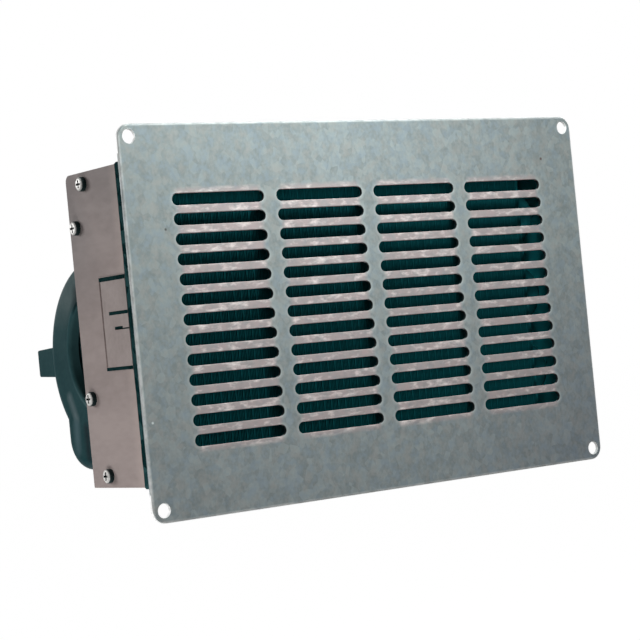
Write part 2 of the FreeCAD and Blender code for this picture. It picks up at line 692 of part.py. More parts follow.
# Tube sheets: end plates with feet that rest on the channels
def tube_sheet(sign, face_x):
    xs = sorted((face_x, face_x + sign * SHEET_T))
    y0 = CORE_Y0 - SHEET_EDGE_GAP
    y1 = CORE_Y1 + SHEET_EDGE_GAP
    plate = box(xs[0], xs[1], y0, y1, -INNER_Z, INNER_Z)
    feet = []
    for s in (-1, 1):
        fx = sorted((face_x, face_x + sign * (SHEET_T + SHEET_FOOT)))
        fz = sorted((s * INNER_Z, s * (INNER_Z - SHEET_T)))
        feet.append(box(fx[0], fx[1], y0, y1, fz[0], fz[1]))
    plate = plate.fuse(feet).removeSplitter()
    holes = [rod_x(TUBE_HOLE_R, xs[0], xs[1], y, z) for y, z in tube_places]
    x = face_x + sign * (SHEET_T + SHEET_FOOT / 2.0)
    for y in core_rivet_y:
        holes.append(rod_z(RIVET_HOLE_R, -INNER_Z, -INNER_Z + SHEET_T, x, y))
        holes.append(rod_z(RIVET_HOLE_R, INNER_Z - SHEET_T, INNER_Z, x, y))
    return plate.cut(holes)


export("left_tube_sheet", [tube_sheet(-1, CORE_X0)])
export("right_tube_sheet", [tube_sheet(1, CORE_X1)])

rivets = []
for x in core_rivet_x:
    for y in core_rivet_y:
        rivets.append(placed(sheet_rivet, V(x, y, HALF_H), V(0, 0, -1)))
        rivets.append(placed(sheet_rivet, V(x, y, -HALF_H), V(0, 0, 1)))
export("core_rivets", rivets)


# Water pipes: out of the right tube sheet, round a bend, through the rear panel
def water_pipe(z):
    start_x = CORE_X1 + SHEET_T
    bend_x = start_x + PIPE_LEAD
    ring = ring_face(start_x, TUBE_REAR_Y, z, V(1, 0, 0), PIPE_R, PIPE_INNER_R)
    lead = ring.extrude(V(PIPE_LEAD, 0, 0))
    ring = ring_face(bend_x, TUBE_REAR_Y, z, V(1, 0, 0), PIPE_R, PIPE_INNER_R)
    bend = ring.revolve(V(bend_x, TUBE_REAR_Y + PIPE_BEND_R, z), V(0, 0, 1), 90)
    bend_y = TUBE_REAR_Y + PIPE_BEND_R
    ring = ring_face(PIPE_X, bend_y, z, V(0, 1, 0), PIPE_R, PIPE_INNER_R)
    straight = ring.extrude(V(0, PIPE_END_Y - bend_y, 0))
    return lead.fuse([bend, straight]).removeSplitter()


export("inlet_pipe", [water_pipe(TUBE_TOP_Z)])
export("outlet_pipe", [water_pipe(-TUBE_TOP_Z)])

grommets = []
for s in (-1, 1):
    z = s * TUBE_TOP_Z
    front = rod_y(GROMMET_D / 2.0, CASE_DEPTH - GROMMET_LIP, CASE_DEPTH, PIPE_X, z)
    neck = rod_y(GROMMET_HOLE_R - THREAD_CLEAR, CASE_DEPTH, REAR_Y, PIPE_X, z)
    back = rod_y(GROMMET_D / 2.0, REAR_Y, REAR_Y + GROMMET_LIP, PIPE_X, z)
    ring = front.fuse([neck, back]).removeSplitter()
    bore = rod_y(PIPE_R + THREAD_CLEAR, CASE_DEPTH - GROMMET_LIP, REAR_Y + GROMMET_LIP, PIPE_X, z)
    grommets.append(ring.cut(bore))
export("pipe_grommets", grommets)


# Hose spigots soldered on the pipe ends, with a stop collar for the hose
def hose_spigot(z):
    tube = rod_y(SPIGOT_D / 2.0, SPIGOT_Y0, SPIGOT_Y1, PIPE_X, z)
    tip = edges_where(tube, lambda p: near(p.y, SPIGOT_Y1))
    tube = tube.makeChamfer(SPIGOT_TIP, tip)
    collar = rod_y(SPIGOT_COLLAR_D / 2.0, SPIGOT_Y0, SPIGOT_Y0 + SPIGOT_COLLAR_T, PIPE_X, z)
    spigot = tube.fuse(collar).removeSplitter()
    bore = rod_y(PIPE_INNER_R, SPIGOT_Y0, SPIGOT_Y1, PIPE_X, z)
    socket = rod_y(PIPE_R + SPIGOT_CLEAR, SPIGOT_Y0, PIPE_END_Y, PIPE_X, z)
    return spigot.cut([bore, socket])


export("hose_spigots", [hose_spigot(TUBE_TOP_Z), hose_spigot(-TUBE_TOP_Z)])


# Scroll shell on the right: round drum over a discharge chute, rounded at both ends
def drum_solid(radius, x0, x1, round_in, round_out):
    drum = rod_x(radius, x0, x1, DRUM_Y, DRUM_Z)
    drum = drum.makeFillet(round_out, edges_where(drum, lambda p: near(p.x, x1)))
    return drum.makeFillet(round_in, edges_where(drum, lambda p: near(p.x, x0)))


def chute_solid(x0, x1, y0, y1, z0, z1, corner, round_in, round_out):
    chute = box(x0, x1, y0, y1, z0, z1)
    heel = edges_where(chute, lambda p: near(p.y, y1) and near(p.z, z0))
    chute = chute.makeFillet(corner, heel)
    outer = edges_where(chute, lambda p: near(p.x, x1) and not near(p.z, z1))
    rear = edges_where(chute, lambda p: near(p.x, x1) and near(p.y, y1))
    chute = chute.makeFillet(round_out, outer + rear)
    inner = edges_where(chute, lambda p: near(p.x, x0) and not near(p.z, z1))
    rear = edges_where(chute, lambda p: near(p.x, x0) and near(p.y, y1))
    return chute.makeFillet(round_in, inner + rear)


def scroll_lug(y0, y1, z0, z1, angle, x0, x1):
    root_low = V(x0, y0, z0)
    root_high = V(x0, y0, z1)
    tip_high = V(x0, y1, z1 - LUG_TAPER)
    tip_low = V(x0, y1, z0 + LUG_TAPER)
    profile = Part.makePolygon([root_low, tip_low, tip_high, root_high, root_low])
    lug = Part.Face(profile).extrude(V(x1 - x0, 0, 0))
    tips = edges_where(lug, lambda p: near(p.y, y1))
    lug = lug.makeFillet(LUG_EDGE_R, [e for e in tips if near(e.Length, x1 - x0)])
    lug.rotate(V(0, DRUM_Y, DRUM_Z), V(1, 0, 0), angle)
    return lug


def lug_rod(radius, x0, x1, out, angle):
    rod = rod_x(radius, x0, x1, DRUM_Y + DRUM_R + out, DRUM_Z)
    rod.rotate(V(0, DRUM_Y, DRUM_Z), V(1, 0, 0), angle)
    return rod


lug_places = [
    (0.0, LUG_OUT, LUG_HEIGHT, LUG_SCREW_OUT),
    (TOP_LUG_ANGLE, TOP_LUG_OUT, TOP_LUG_HEIGHT, TOP_LUG_OUT / 2.0),
]


def scroll_shell():
    w = SHELL_WALL
    outer = drum_solid(DRUM_R, SCROLL_IN_X, SCROLL_OUT_X, SHELL_INNER_ROUND, SHELL_ROUND)
    chute = chute_solid(
        SCROLL_IN_X, SCROLL_OUT_X, FLANGE_Y, CHUTE_REAR_Y, CHUTE_Z0, CHUTE_Z1,
        CHUTE_CORNER_R, SHELL_INNER_ROUND, SHELL_ROUND,
    )
    flange = box(FLANGE_X0, FLANGE_X1, FLANGE_Y, FLANGE_Y + SCROLL_FLANGE_T, CHUTE_Z0, FLANGE_Z1)
    lugs = []
    for angle, out, height, _ in lug_places:
        y0 = DRUM_Y + DRUM_R - LUG_ROOT
        y1 = DRUM_Y + DRUM_R + out
        z0 = DRUM_Z - height / 2.0
        z1 = DRUM_Z + height / 2.0
        lugs.append(scroll_lug(y0, y1, z0, z1, angle, LUG_X0, LUG_X1))
    solid = outer.fuse([chute, flange] + lugs)
    drum_hole = drum_solid(
        DRUM_R - w, SCROLL_IN_X + w, SCROLL_OUT_X - w, SHELL_INNER_ROUND - w, SHELL_ROUND - w,
    )
    chute_hole = chute_solid(
        SCROLL_IN_X + w, SCROLL_OUT_X - w, FLANGE_Y, CHUTE_REAR_Y - w, CHUTE_Z0 + w, CHUTE_Z1 - w,
        CHUTE_CORNER_R - w, SHELL_INNER_ROUND - w, SHELL_ROUND - w,
    )
    mouth = outlet_hole(FLANGE_Y, FLANGE_Y + SCROLL_FLANGE_T)
    eye = rod_x(EYE_R + EYE_LIP_T, SCROLL_OUT_X - w, SCROLL_OUT_X, AXIS_Y, AXIS_Z)
    motor_eye = rod_x(MOTOR_SIDE_EYE_R, SCROLL_IN_X, SCROLL_IN_X + w, AXIS_Y, AXIS_Z)
    cutters = [drum_hole, chute_hole, mouth, eye, motor_eye]
    screw_r = LUG_SCREW_D / 2.0
    for angle, _, _, out in lug_places:
        cutters.append(lug_rod(screw_r + HOLE_CLEAR, LUG_X0, PART_X, out, angle))
        cutters.append(lug_rod(screw_r + THREAD_CLEAR, PART_X, LUG_HOLE_X1, out, angle))
    for x, z in flange_screw_places:
        if x > 0:
            cutters.append(rod_y(SCREW_HOLE_R, FLANGE_Y, FLANGE_Y + SCROLL_FLANGE_T, x, z))
    solid = solid.cut(cutters)
    lip = rod_x(EYE_R + EYE_LIP_T, SCROLL_OUT_X - EYE_LIP_DEPTH, SCROLL_OUT_X, AXIS_Y, AXIS_Z)
    lip = lip.cut(rod_x(EYE_R, SCROLL_OUT_X - EYE_LIP_DEPTH, SCROLL_OUT_X, AXIS_Y, AXIS_Z))
    end_edges = edges_where(lip, lambda p: near(p.x, SCROLL_OUT_X))
    lip = lip.makeFillet(EYE_ROUND, [e for e in end_edges if near(e.Curve.Radius, EYE_R)])
    return solid.fuse(lip).removeSplitter()


shell = scroll_shell()
whole = shell.BoundBox
whole.enlarge(CUT_OVERRUN)
cover_side = box(PART_X, whole.XMax, whole.YMin, whole.YMax, whole.ZMin, whole.ZMax)
right_cover = shell.common(cover_side)
right_body = shell.cut(cover_side)
export("right_scroll", right_body.Solids)
export("left_scroll", mirrored(right_body).Solids)
export("right_inlet_cover", right_cover.Solids)
export("left_inlet_cover", mirrored(right_cover).Solids)

screws = []
for angle, _, _, out in lug_places:
    screw = placed(lug_screw, V(LUG_X0, DRUM_Y + DRUM_R + out, DRUM_Z), V(1, 0, 0))
    screw.rotate(V(0, DRUM_Y, DRUM_Z), V(1, 0, 0), angle)
    screws.append(screw)
    screws.append(mirrored(screw))
export("cover_screws", screws)

gasket = box(FLANGE_X0, FLANGE_X1, REAR_Y, FLANGE_Y, CHUTE_Z0, FLANGE_Z1).cut(outlet_hole(REAR_Y, FLANGE_Y))
for x, z in flange_screw_places:
    if x > 0:
        gasket = gasket.cut(rod_y(SCREW_HOLE_R, REAR_Y, FLANGE_Y, x, z))
export("outlet_gaskets", [gasket, mirrored(gasket)])

seat_y = FLANGE_Y + SCROLL_FLANGE_T
screws = [placed(casing_screw, V(x, seat_y, z), V(0, -1, 0)) for x, z in flange_screw_places]
export("flange_screws", screws)


# Blower wheel on the right: curved blades between a hub disc and an end ring
def blower_wheel():
    disc = rod_x(WHEEL_R, WHEEL_X0, WHEEL_X0 + WHEEL_DISC_T, AXIS_Y, AXIS_Z)
    hub = rod_x(HUB_R, WHEEL_X0, WHEEL_X0 + HUB_LENGTH, AXIS_Y, AXIS_Z)
    ring = rod_x(WHEEL_R, WHEEL_X1 - WHEEL_RING_L, WHEEL_X1, AXIS_Y, AXIS_Z)
    ring = ring.cut(rod_x(WHEEL_R - BLADE_DEPTH, WHEEL_X1 - WHEEL_RING_L, WHEEL_X1, AXIS_Y, AXIS_Z))
    r0 = WHEEL_R - BLADE_DEPTH + BLADE_INSET
    r1 = WHEEL_R - BLADE_INSET
    sweep = math.radians(BLADE_SWEEP)
    y1 = AXIS_Y + r1 * math.cos(sweep)
    z1 = AXIS_Z + r1 * math.sin(sweep)
    x0 = WHEEL_X0 + WHEEL_DISC_T / 2.0
    middle_y = (AXIS_Y + r0 + y1) / 2.0
    middle_z = (AXIS_Z + z1) / 2.0
    a = V(x0, AXIS_Y + r0, AXIS_Z)
    b = V(x0, y1, z1)
    c = V(x0, y1, z1 + BLADE_T)
    d = V(x0, AXIS_Y + r0, AXIS_Z + BLADE_T)
    low = Part.Arc(a, V(x0, middle_y + BLADE_BOW, middle_z - BLADE_BOW), b).toShape()
    high = Part.Arc(c, V(x0, middle_y + BLADE_BOW, middle_z - BLADE_BOW + BLADE_T), d).toShape()
    wire = Part.Wire([low, Part.makeLine(b, c), high, Part.makeLine(d, a)])
    blade = Part.Face(wire).extrude(V(WHEEL_X1 - WHEEL_RING_L / 2.0 - x0, 0, 0))
    blades = [turned(blade, 360.0 * k / BLADE_COUNT) for k in range(BLADE_COUNT)]
    wheel = disc.fuse([hub, ring] + blades).removeSplitter()
    bore = rod_x(SHAFT_R + HUB_CLEAR, WHEEL_X0, WHEEL_X0 + HUB_LENGTH, AXIS_Y, AXIS_Z)
    grub = rod_z(GRUB_D / 2.0 + THREAD_CLEAR, AXIS_Z, AXIS_Z + HUB_R + CUT_OVERRUN, GRUB_X, AXIS_Y)
    return wheel.cut([bore, grub])


right_wheel = blower_wheel()
export("right_wheel", [right_wheel])
export("left_wheel", [turned(mirrored(right_wheel), 180.0)])

grub = rod_z(GRUB_D / 2.0, AXIS_Z + SHAFT_R + THREAD_CLEAR, AXIS_Z + HUB_R - GRUB_SINK, GRUB_X, AXIS_Y)
export("wheel_set_screws", [grub, turned(mirrored(grub), 180.0)])

shaft = rod_x(SHAFT_R, -SHAFT_END_X, SHAFT_END_X, AXIS_Y, AXIS_Z)
export("motor_shaft", [shaft])


# Motor can, end caps and bushes
can = rod_x(MOTOR_R, -CAN_X, CAN_X, AXIS_Y, AXIS_Z).cut(rod_x(CAN_INNER_R, -CAN_X, CAN_X, AXIS_Y, AXIS_Z))
export("motor_can", [can])

cap = rod_x(MOTOR_R, CAN_X, CAN_X + CAP_T, AXIS_Y, AXIS_Z)
cap = cap.makeFillet(CAP_EDGE_R, edges_where(cap, lambda p: near(p.x, CAN_X + CAP_T)))
boss = rod_x(CAP_BOSS_R, CAN_X, CAN_X + CAP_T + CAP_BOSS_L, AXIS_Y, AXIS_Z)
cap = cap.fuse(boss).removeSplitter()
cap = cap.cut(rod_x(BUSH_R, CAN_X, CAN_X + CAP_T + CAP_BOSS_L, AXIS_Y, AXIS_Z))
export("right_motor_cap", [cap])
export("left_motor_cap", [mirrored(cap)])

bush = rod_x(BUSH_R - BUSH_SEAT_CLEAR, CAN_X, CAN_X + CAP_T + CAP_BOSS_L, AXIS_Y, AXIS_Z)
bush = bush.cut(rod_x(SHAFT_R + BUSH_CLEAR, CAN_X, CAN_X + CAP_T + CAP_BOSS_L, AXIS_Y, AXIS_Z))
export("motor_bushes", [bush, mirrored(bush)])


# Field magnets inside the can
def magnet(angle):
    half = MAGNET_LENGTH / 2.0
    inner_r = MAGNET_OUTER_R - MAGNET_T
    a = V(-half, AXIS_Y + inner_r, AXIS_Z)
    b = V(-half, AXIS_Y + MAGNET_OUTER_R, AXIS_Z)
    c = V(half, AXIS_Y + MAGNET_OUTER_R, AXIS_Z)
    d = V(half, AXIS_Y + inner_r, AXIS_Z)
    face = Part.Face(Part.makePolygon([a, b, c, d, a]))
    arc = face.revolve(V(0, AXIS_Y, AXIS_Z), V(1, 0, 0), MAGNET_SPAN)
    return turned(arc, angle - MAGNET_SPAN / 2.0)


export("field_magnets", [magnet(90.0), magnet(270.0)])


# Armature: slotted core, end windings and commutator on the shaft
core = rod_x(ARMATURE_R, -ARMATURE_X, ARMATURE_X, AXIS_Y, AXIS_Z)
slot = box(
    -ARMATURE_X, ARMATURE_X, AXIS_Y - ARMATURE_SLOT_W / 2.0, AXIS_Y + ARMATURE_SLOT_W / 2.0,
    AXIS_Z + ARMATURE_R - ARMATURE_SLOT_DEPTH, AXIS_Z + ARMATURE_R + CUT_OVERRUN,
)
core = core.cut([turned(slot, 360.0 * k / ARMATURE_SLOTS) for k in range(ARMATURE_SLOTS)])
core = core.cut(rod_x(SHAFT_R + HUB_CLEAR, -ARMATURE_X, ARMATURE_X, AXIS_Y, AXIS_Z))
export("armature_core", [core])

winding = rod_x(WINDING_R, ARMATURE_X, WINDING_X, AXIS_Y, AXIS_Z)
winding = winding.makeFillet(WINDING_ROUND, edges_where(winding, lambda p: near(p.x, WINDING_X)))
winding = winding.cut(rod_x(SHAFT_R + HUB_CLEAR, ARMATURE_X, WINDING_X, AXIS_Y, AXIS_Z))
export("armature_windings", [winding, mirrored(winding)])

commutator_end = WINDING_X + COMMUTATOR_LENGTH
commutator = rod_x(COMMUTATOR_R, WINDING_X, commutator_end, AXIS_Y, AXIS_Z)
commutator = commutator.cut(rod_x(SHAFT_R + HUB_CLEAR, WINDING_X, commutator_end, AXIS_Y, AXIS_Z))
export("commutator", [commutator])


# Brush card against the right end cap, with two guides, and the brushes in them
card = rod_x(CAN_INNER_R - THREAD_CLEAR, CARD_X, CAN_X, AXIS_Y, AXIS_Z)
card = card.cut(rod_x(CARD_HOLE_R, CARD_X, CAN_X, AXIS_Y, AXIS_Z))
brush_r0 = COMMUTATOR_R + BRUSH_GAP
guide_y0 = AXIS_Y + CARD_HOLE_R
guide_y1 = guide_y0 + GUIDE_LENGTH
brush_z0 = AXIS_Z - BRUSH_W / 2.0
brush_z1 = AXIS_Z + BRUSH_W / 2.0
wall = BRUSH_CLEAR + GUIDE_WALL
x0 = BRUSH_X - BRUSH_T / 2.0
x1 = BRUSH_X + BRUSH_T / 2.0
guide = box(x0 + GUIDE_WALL / 2.0, CARD_X, guide_y0, guide_y1, brush_z0 - wall, brush_z1 + wall)
guide = guide.cut(box(x0, CARD_X, guide_y0, guide_y1, brush_z0 - BRUSH_CLEAR, brush_z1 + BRUSH_CLEAR))
card = card.fuse([guide, turned(guide, 180.0)]).removeSplitter()
export("brush_card", [card])

brush_y0 = AXIS_Y + brush_r0
brush = box(x0, x1, brush_y0, brush_y0 + BRUSH_LENGTH, brush_z0, brush_z1)
brush = brush.cut(rod_x(brush_r0, x0, x1, AXIS_Y, AXIS_Z))
export("motor_brushes", [brush, turned(brush, 180.0)])


# Motor saddle on the rear panel, strap round the motor, and their screws
def motor_saddle():
    half_w = SADDLE_W / 2.0
    base_y = REAR_Y + SADDLE_BASE_T
    base = box(-half_w, half_w, REAR_Y, base_y, AXIS_Z - SADDLE_H / 2.0, AXIS_Z + SADDLE_H / 2.0)
    corners = [e for e in base.Edges if near(e.Length, SADDLE_BASE_T)]
    base = base.makeFillet(SADDLE_CORNER_R, corners)
    half_p = PEDESTAL_W / 2.0
    top_y = AXIS_Y - PEDESTAL_REACH
    pedestal = box(-half_p, half_p, REAR_Y, top_y, AXIS_Z - PEDESTAL_H / 2.0, AXIS_Z + PEDESTAL_H / 2.0)
    half_e = EAR_W / 2.0
    ears = box(-half_e, half_e, EAR_Y - EAR_T, EAR_Y, AXIS_Z - EAR_SPAN / 2.0, AXIS_Z + EAR_SPAN / 2.0)
    seat = rod_x(SADDLE_R, -half_w, half_w, AXIS_Y, AXIS_Z)
    inner_z = PEDESTAL_H / 2.0 - SADDLE_LEG
    sill_y = base_y + WINDOW_SILL
    head_y = AXIS_Y - SADDLE_R - WINDOW_HEAD
    window = box(-half_p, half_p, sill_y, head_y, AXIS_Z - inner_z, AXIS_Z + inner_z)
    saddle = base.fuse([pedestal, ears]).removeSplitter()
    cutters = [seat, window]
    for x, z in saddle_screw_places:
        cutters.append(rod_y(SCREW_HOLE_R, REAR_Y, base_y, x, z))
    for s in (-1, 1):
        cutters.append(rod_y(SCREW_R + THREAD_CLEAR, EAR_Y - EAR_T, EAR_Y, 0.0, AXIS_Z + s * STRAP_SCREW_Z))
    return saddle.cut(cutters)


export("motor_saddle", [motor_saddle()])

half_strap = STRAP_W / 2.0
hoop = rod_x(STRAP_R, -half_strap, half_strap, AXIS_Y, AXIS_Z)
hoop = hoop.cut(rod_x(SADDLE_R, -half_strap, half_strap, AXIS_Y, AXIS_Z))
front_half = box(-half_strap, half_strap, AXIS_Y - STRAP_R, AXIS_Y, AXIS_Z - STRAP_R, AXIS_Z + STRAP_R)
hoop = hoop.cut(front_half)
strap_parts = []
for s in (-1, 1):
    leg_z = sorted((AXIS_Z + s * SADDLE_R, AXIS_Z + s * STRAP_R))
    foot_z = sorted((AXIS_Z + s * SADDLE_R, AXIS_Z + s * (STRAP_R + STRAP_FOOT)))
    strap_parts.append(box(-half_strap, half_strap, EAR_Y, AXIS_Y, leg_z[0], leg_z[1]))
    foot = box(-half_strap, half_strap, EAR_Y, EAR_Y + STRAP_T, foot_z[0], foot_z[1])
    hole = rod_y(SCREW_HOLE_R, EAR_Y, EAR_Y + STRAP_T, 0.0, AXIS_Z + s * STRAP_SCREW_Z)
    strap_parts.append(foot.cut(hole))
strap = hoop.fuse(strap_parts).removeSplitter()
export("motor_strap", [strap])

screws = []
for s in (-1, 1):
    screws.append(placed(casing_screw, V(0.0, EAR_Y + STRAP_T, AXIS_Z + s * STRAP_SCREW_Z), V(0, -1, 0)))
export("strap_screws", screws)

screws = [placed(casing_screw, V(x, REAR_Y + SADDLE_BASE_T, z), V(0, -1, 0)) for x, z in saddle_screw_places]
export("saddle_screws", screws)


# Terminal block high on the rear panel
half_bw = BLOCK_W / 2.0
half_bh = BLOCK_H / 2.0
block_y = REAR_Y + BLOCK_DEPTH
body_y = block_y - BLOCK_RIB_DEPTH
foot_y = REAR_Y + BLOCK_RIB_DEPTH
block_x = BLOCK_RIB_PITCH * (BLOCK_RIBS - 1) / 2.0 + BLOCK_RIB_T / 2.0
block_z0 = BLOCK_Z - half_bh
block_z1 = BLOCK_Z + half_bh
half_rib = BLOCK_RIB_T / 2.0
block = box(-block_x, block_x, REAR_Y, body_y, block_z0, block_z1)
foot = box(-half_bw, half_bw, REAR_Y, foot_y, block_z0, block_z1)
ribs = []
for k in range(BLOCK_RIBS):
    x = (k - (BLOCK_RIBS - 1) / 2.0) * BLOCK_RIB_PITCH
    ribs.append(box(x - half_rib, x + half_rib, REAR_Y, block_y, block_z0, block_z1))
block = block.fuse([foot] + ribs).removeSplitter()
cutters = [rod_y(SCREW_HOLE_R, REAR_Y, foot_y, x, z) for x, z in block_screw_places]
terminals = []
terminal = pan_screw(TERMINAL_D, TERMINAL_H, TERMINAL_SHANK_D, TERMINAL_SHANK_L)
terminal_hole_r = TERMINAL_SHANK_D / 2.0 + THREAD_CLEAR
for k in range(BLOCK_RIBS - 1):
    x = (k - (BLOCK_RIBS - 2) / 2.0) * BLOCK_RIB_PITCH
    cutters.append(rod_y(terminal_hole_r, body_y - TERMINAL_SHANK_L, body_y, x, BLOCK_Z))
    terminals.append(placed(terminal, V(x, body_y, BLOCK_Z), V(0, -1, 0)))
block = block.cut(cutters)
export("terminal_block", [block])
export("terminal_screws", terminals)

screws = [placed(casing_screw, V(x, foot_y, z), V(0, -1, 0)) for x, z in block_screw_places]
export("block_screws", screws)


# Motor leads: up from the can, forward, and up into the terminal block
def lead(x):
    turn_z = LEAD_Z0 + LEAD_RISE
    run_z = turn_z + LEAD_BEND_R
    end_y = REAR_Y + LEAD_FROM_PANEL
    circle = Part.makeCircle(LEAD_D / 2.0, V(x, AXIS_Y, LEAD_Z0), V(0, 0, 1))
    profile = Part.Face(Part.Wire(circle))
    rise = profile.extrude(V(0, 0, LEAD_RISE))
    circle = Part.makeCircle(LEAD_D / 2.0, V(x, AXIS_Y, turn_z), V(0, 0, 1))
    profile = Part.Face(Part.Wire(circle))
    first = profile.revolve(V(x, AXIS_Y - LEAD_BEND_R, turn_z), V(1, 0, 0), 90)
    run = rod_y(LEAD_D / 2.0, end_y + LEAD_BEND_R, AXIS_Y - LEAD_BEND_R, x, run_z)
    circle = Part.makeCircle(LEAD_D / 2.0, V(x, end_y, run_z + LEAD_BEND_R), V(0, 0, 1))
    profile = Part.Face(Part.Wire(circle))
    second = profile.revolve(V(x, end_y + LEAD_BEND_R, run_z + LEAD_BEND_R), V(1, 0, 0), 90)
    rest = rod_z(LEAD_D / 2.0, run_z + LEAD_BEND_R, LEAD_Z1, x, end_y)
    return rise.fuse([first, run, second, rest]).removeSplitter()


export("positive_lead", [lead(LEAD_X)])
export("negative_lead", [lead(-LEAD_X)])
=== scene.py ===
"""Studio scene of a marine bulkhead heater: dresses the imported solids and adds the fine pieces."""

import json
import logging
import math
from dataclasses import dataclass
from enum import Enum
from typing import ClassVar

import bmesh
import bpy
from mathutils import Matrix, Vector, noise


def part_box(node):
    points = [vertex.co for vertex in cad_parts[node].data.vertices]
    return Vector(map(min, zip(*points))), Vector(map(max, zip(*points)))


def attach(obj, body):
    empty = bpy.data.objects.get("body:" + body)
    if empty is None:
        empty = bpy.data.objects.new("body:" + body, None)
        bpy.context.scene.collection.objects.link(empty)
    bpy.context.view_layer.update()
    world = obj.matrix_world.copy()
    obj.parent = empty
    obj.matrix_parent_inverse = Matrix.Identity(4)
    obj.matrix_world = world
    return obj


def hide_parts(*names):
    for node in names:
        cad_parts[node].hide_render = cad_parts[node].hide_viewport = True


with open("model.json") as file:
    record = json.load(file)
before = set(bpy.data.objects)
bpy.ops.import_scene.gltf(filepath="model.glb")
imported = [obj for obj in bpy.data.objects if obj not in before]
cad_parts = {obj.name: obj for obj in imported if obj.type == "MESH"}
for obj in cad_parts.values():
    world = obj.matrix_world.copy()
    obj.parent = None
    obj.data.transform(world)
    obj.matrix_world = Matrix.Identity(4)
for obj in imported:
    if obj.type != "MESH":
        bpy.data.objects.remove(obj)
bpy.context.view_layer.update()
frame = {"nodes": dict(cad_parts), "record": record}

LOG = logging.getLogger("heater")
BODY = "heater"

Piece = bpy.types.Object
Socket = bpy.types.NodeSocket
Sockets = bpy.types.bpy_prop_collection
Pair = tuple[float, float]
Triple = tuple[float, float, float]
Band = tuple[float, float, float, float]
Colour = Triple
Value = float | tuple | Socket

EVEN: Triple = (1.0, 1.0, 1.0)
WHITE: Colour = (1.0, 1.0, 1.0)
CIRCLE_POINTS = 24


def middle(node: str) -> Vector:
    """Gives the middle of a node's box."""
    low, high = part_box(node)
    return (low + high) / 2.0


def scaled(band: tuple[float, ...], size: float) -> tuple[float, ...]:
    """Multiplies the two places that a band starts with by a size."""
    return (band[0] * size, band[1] * size, *band[2:])


def shifted(band: tuple[float, ...], start: float) -> tuple[float, ...]:
    """Moves the two places that a band starts with."""
    return (band[0] + start, band[1] + start, *band[2:])


def circle(centre: Vector, across: Vector, up: Vector, radius: float) -> list[Vector]:
    """Gives the points of a circle in the plane of two unit vectors."""
    angles = [math.tau * k / CIRCLE_POINTS for k in range(CIRCLE_POINTS)]
    return [centre + across * (radius * math.cos(a)) + up * (radius * math.sin(a)) for a in angles]


class Blend(Enum):
    """How one colour lies on another."""

    MIX = "MIX"
    MULTIPLY = "MULTIPLY"


class Kind(Enum):
    """The kinds of socket that an effect has."""

    NUMBER = "NodeSocketFloat"
    VECTOR = "NodeSocketVector"
    COLOUR = "NodeSocketColor"


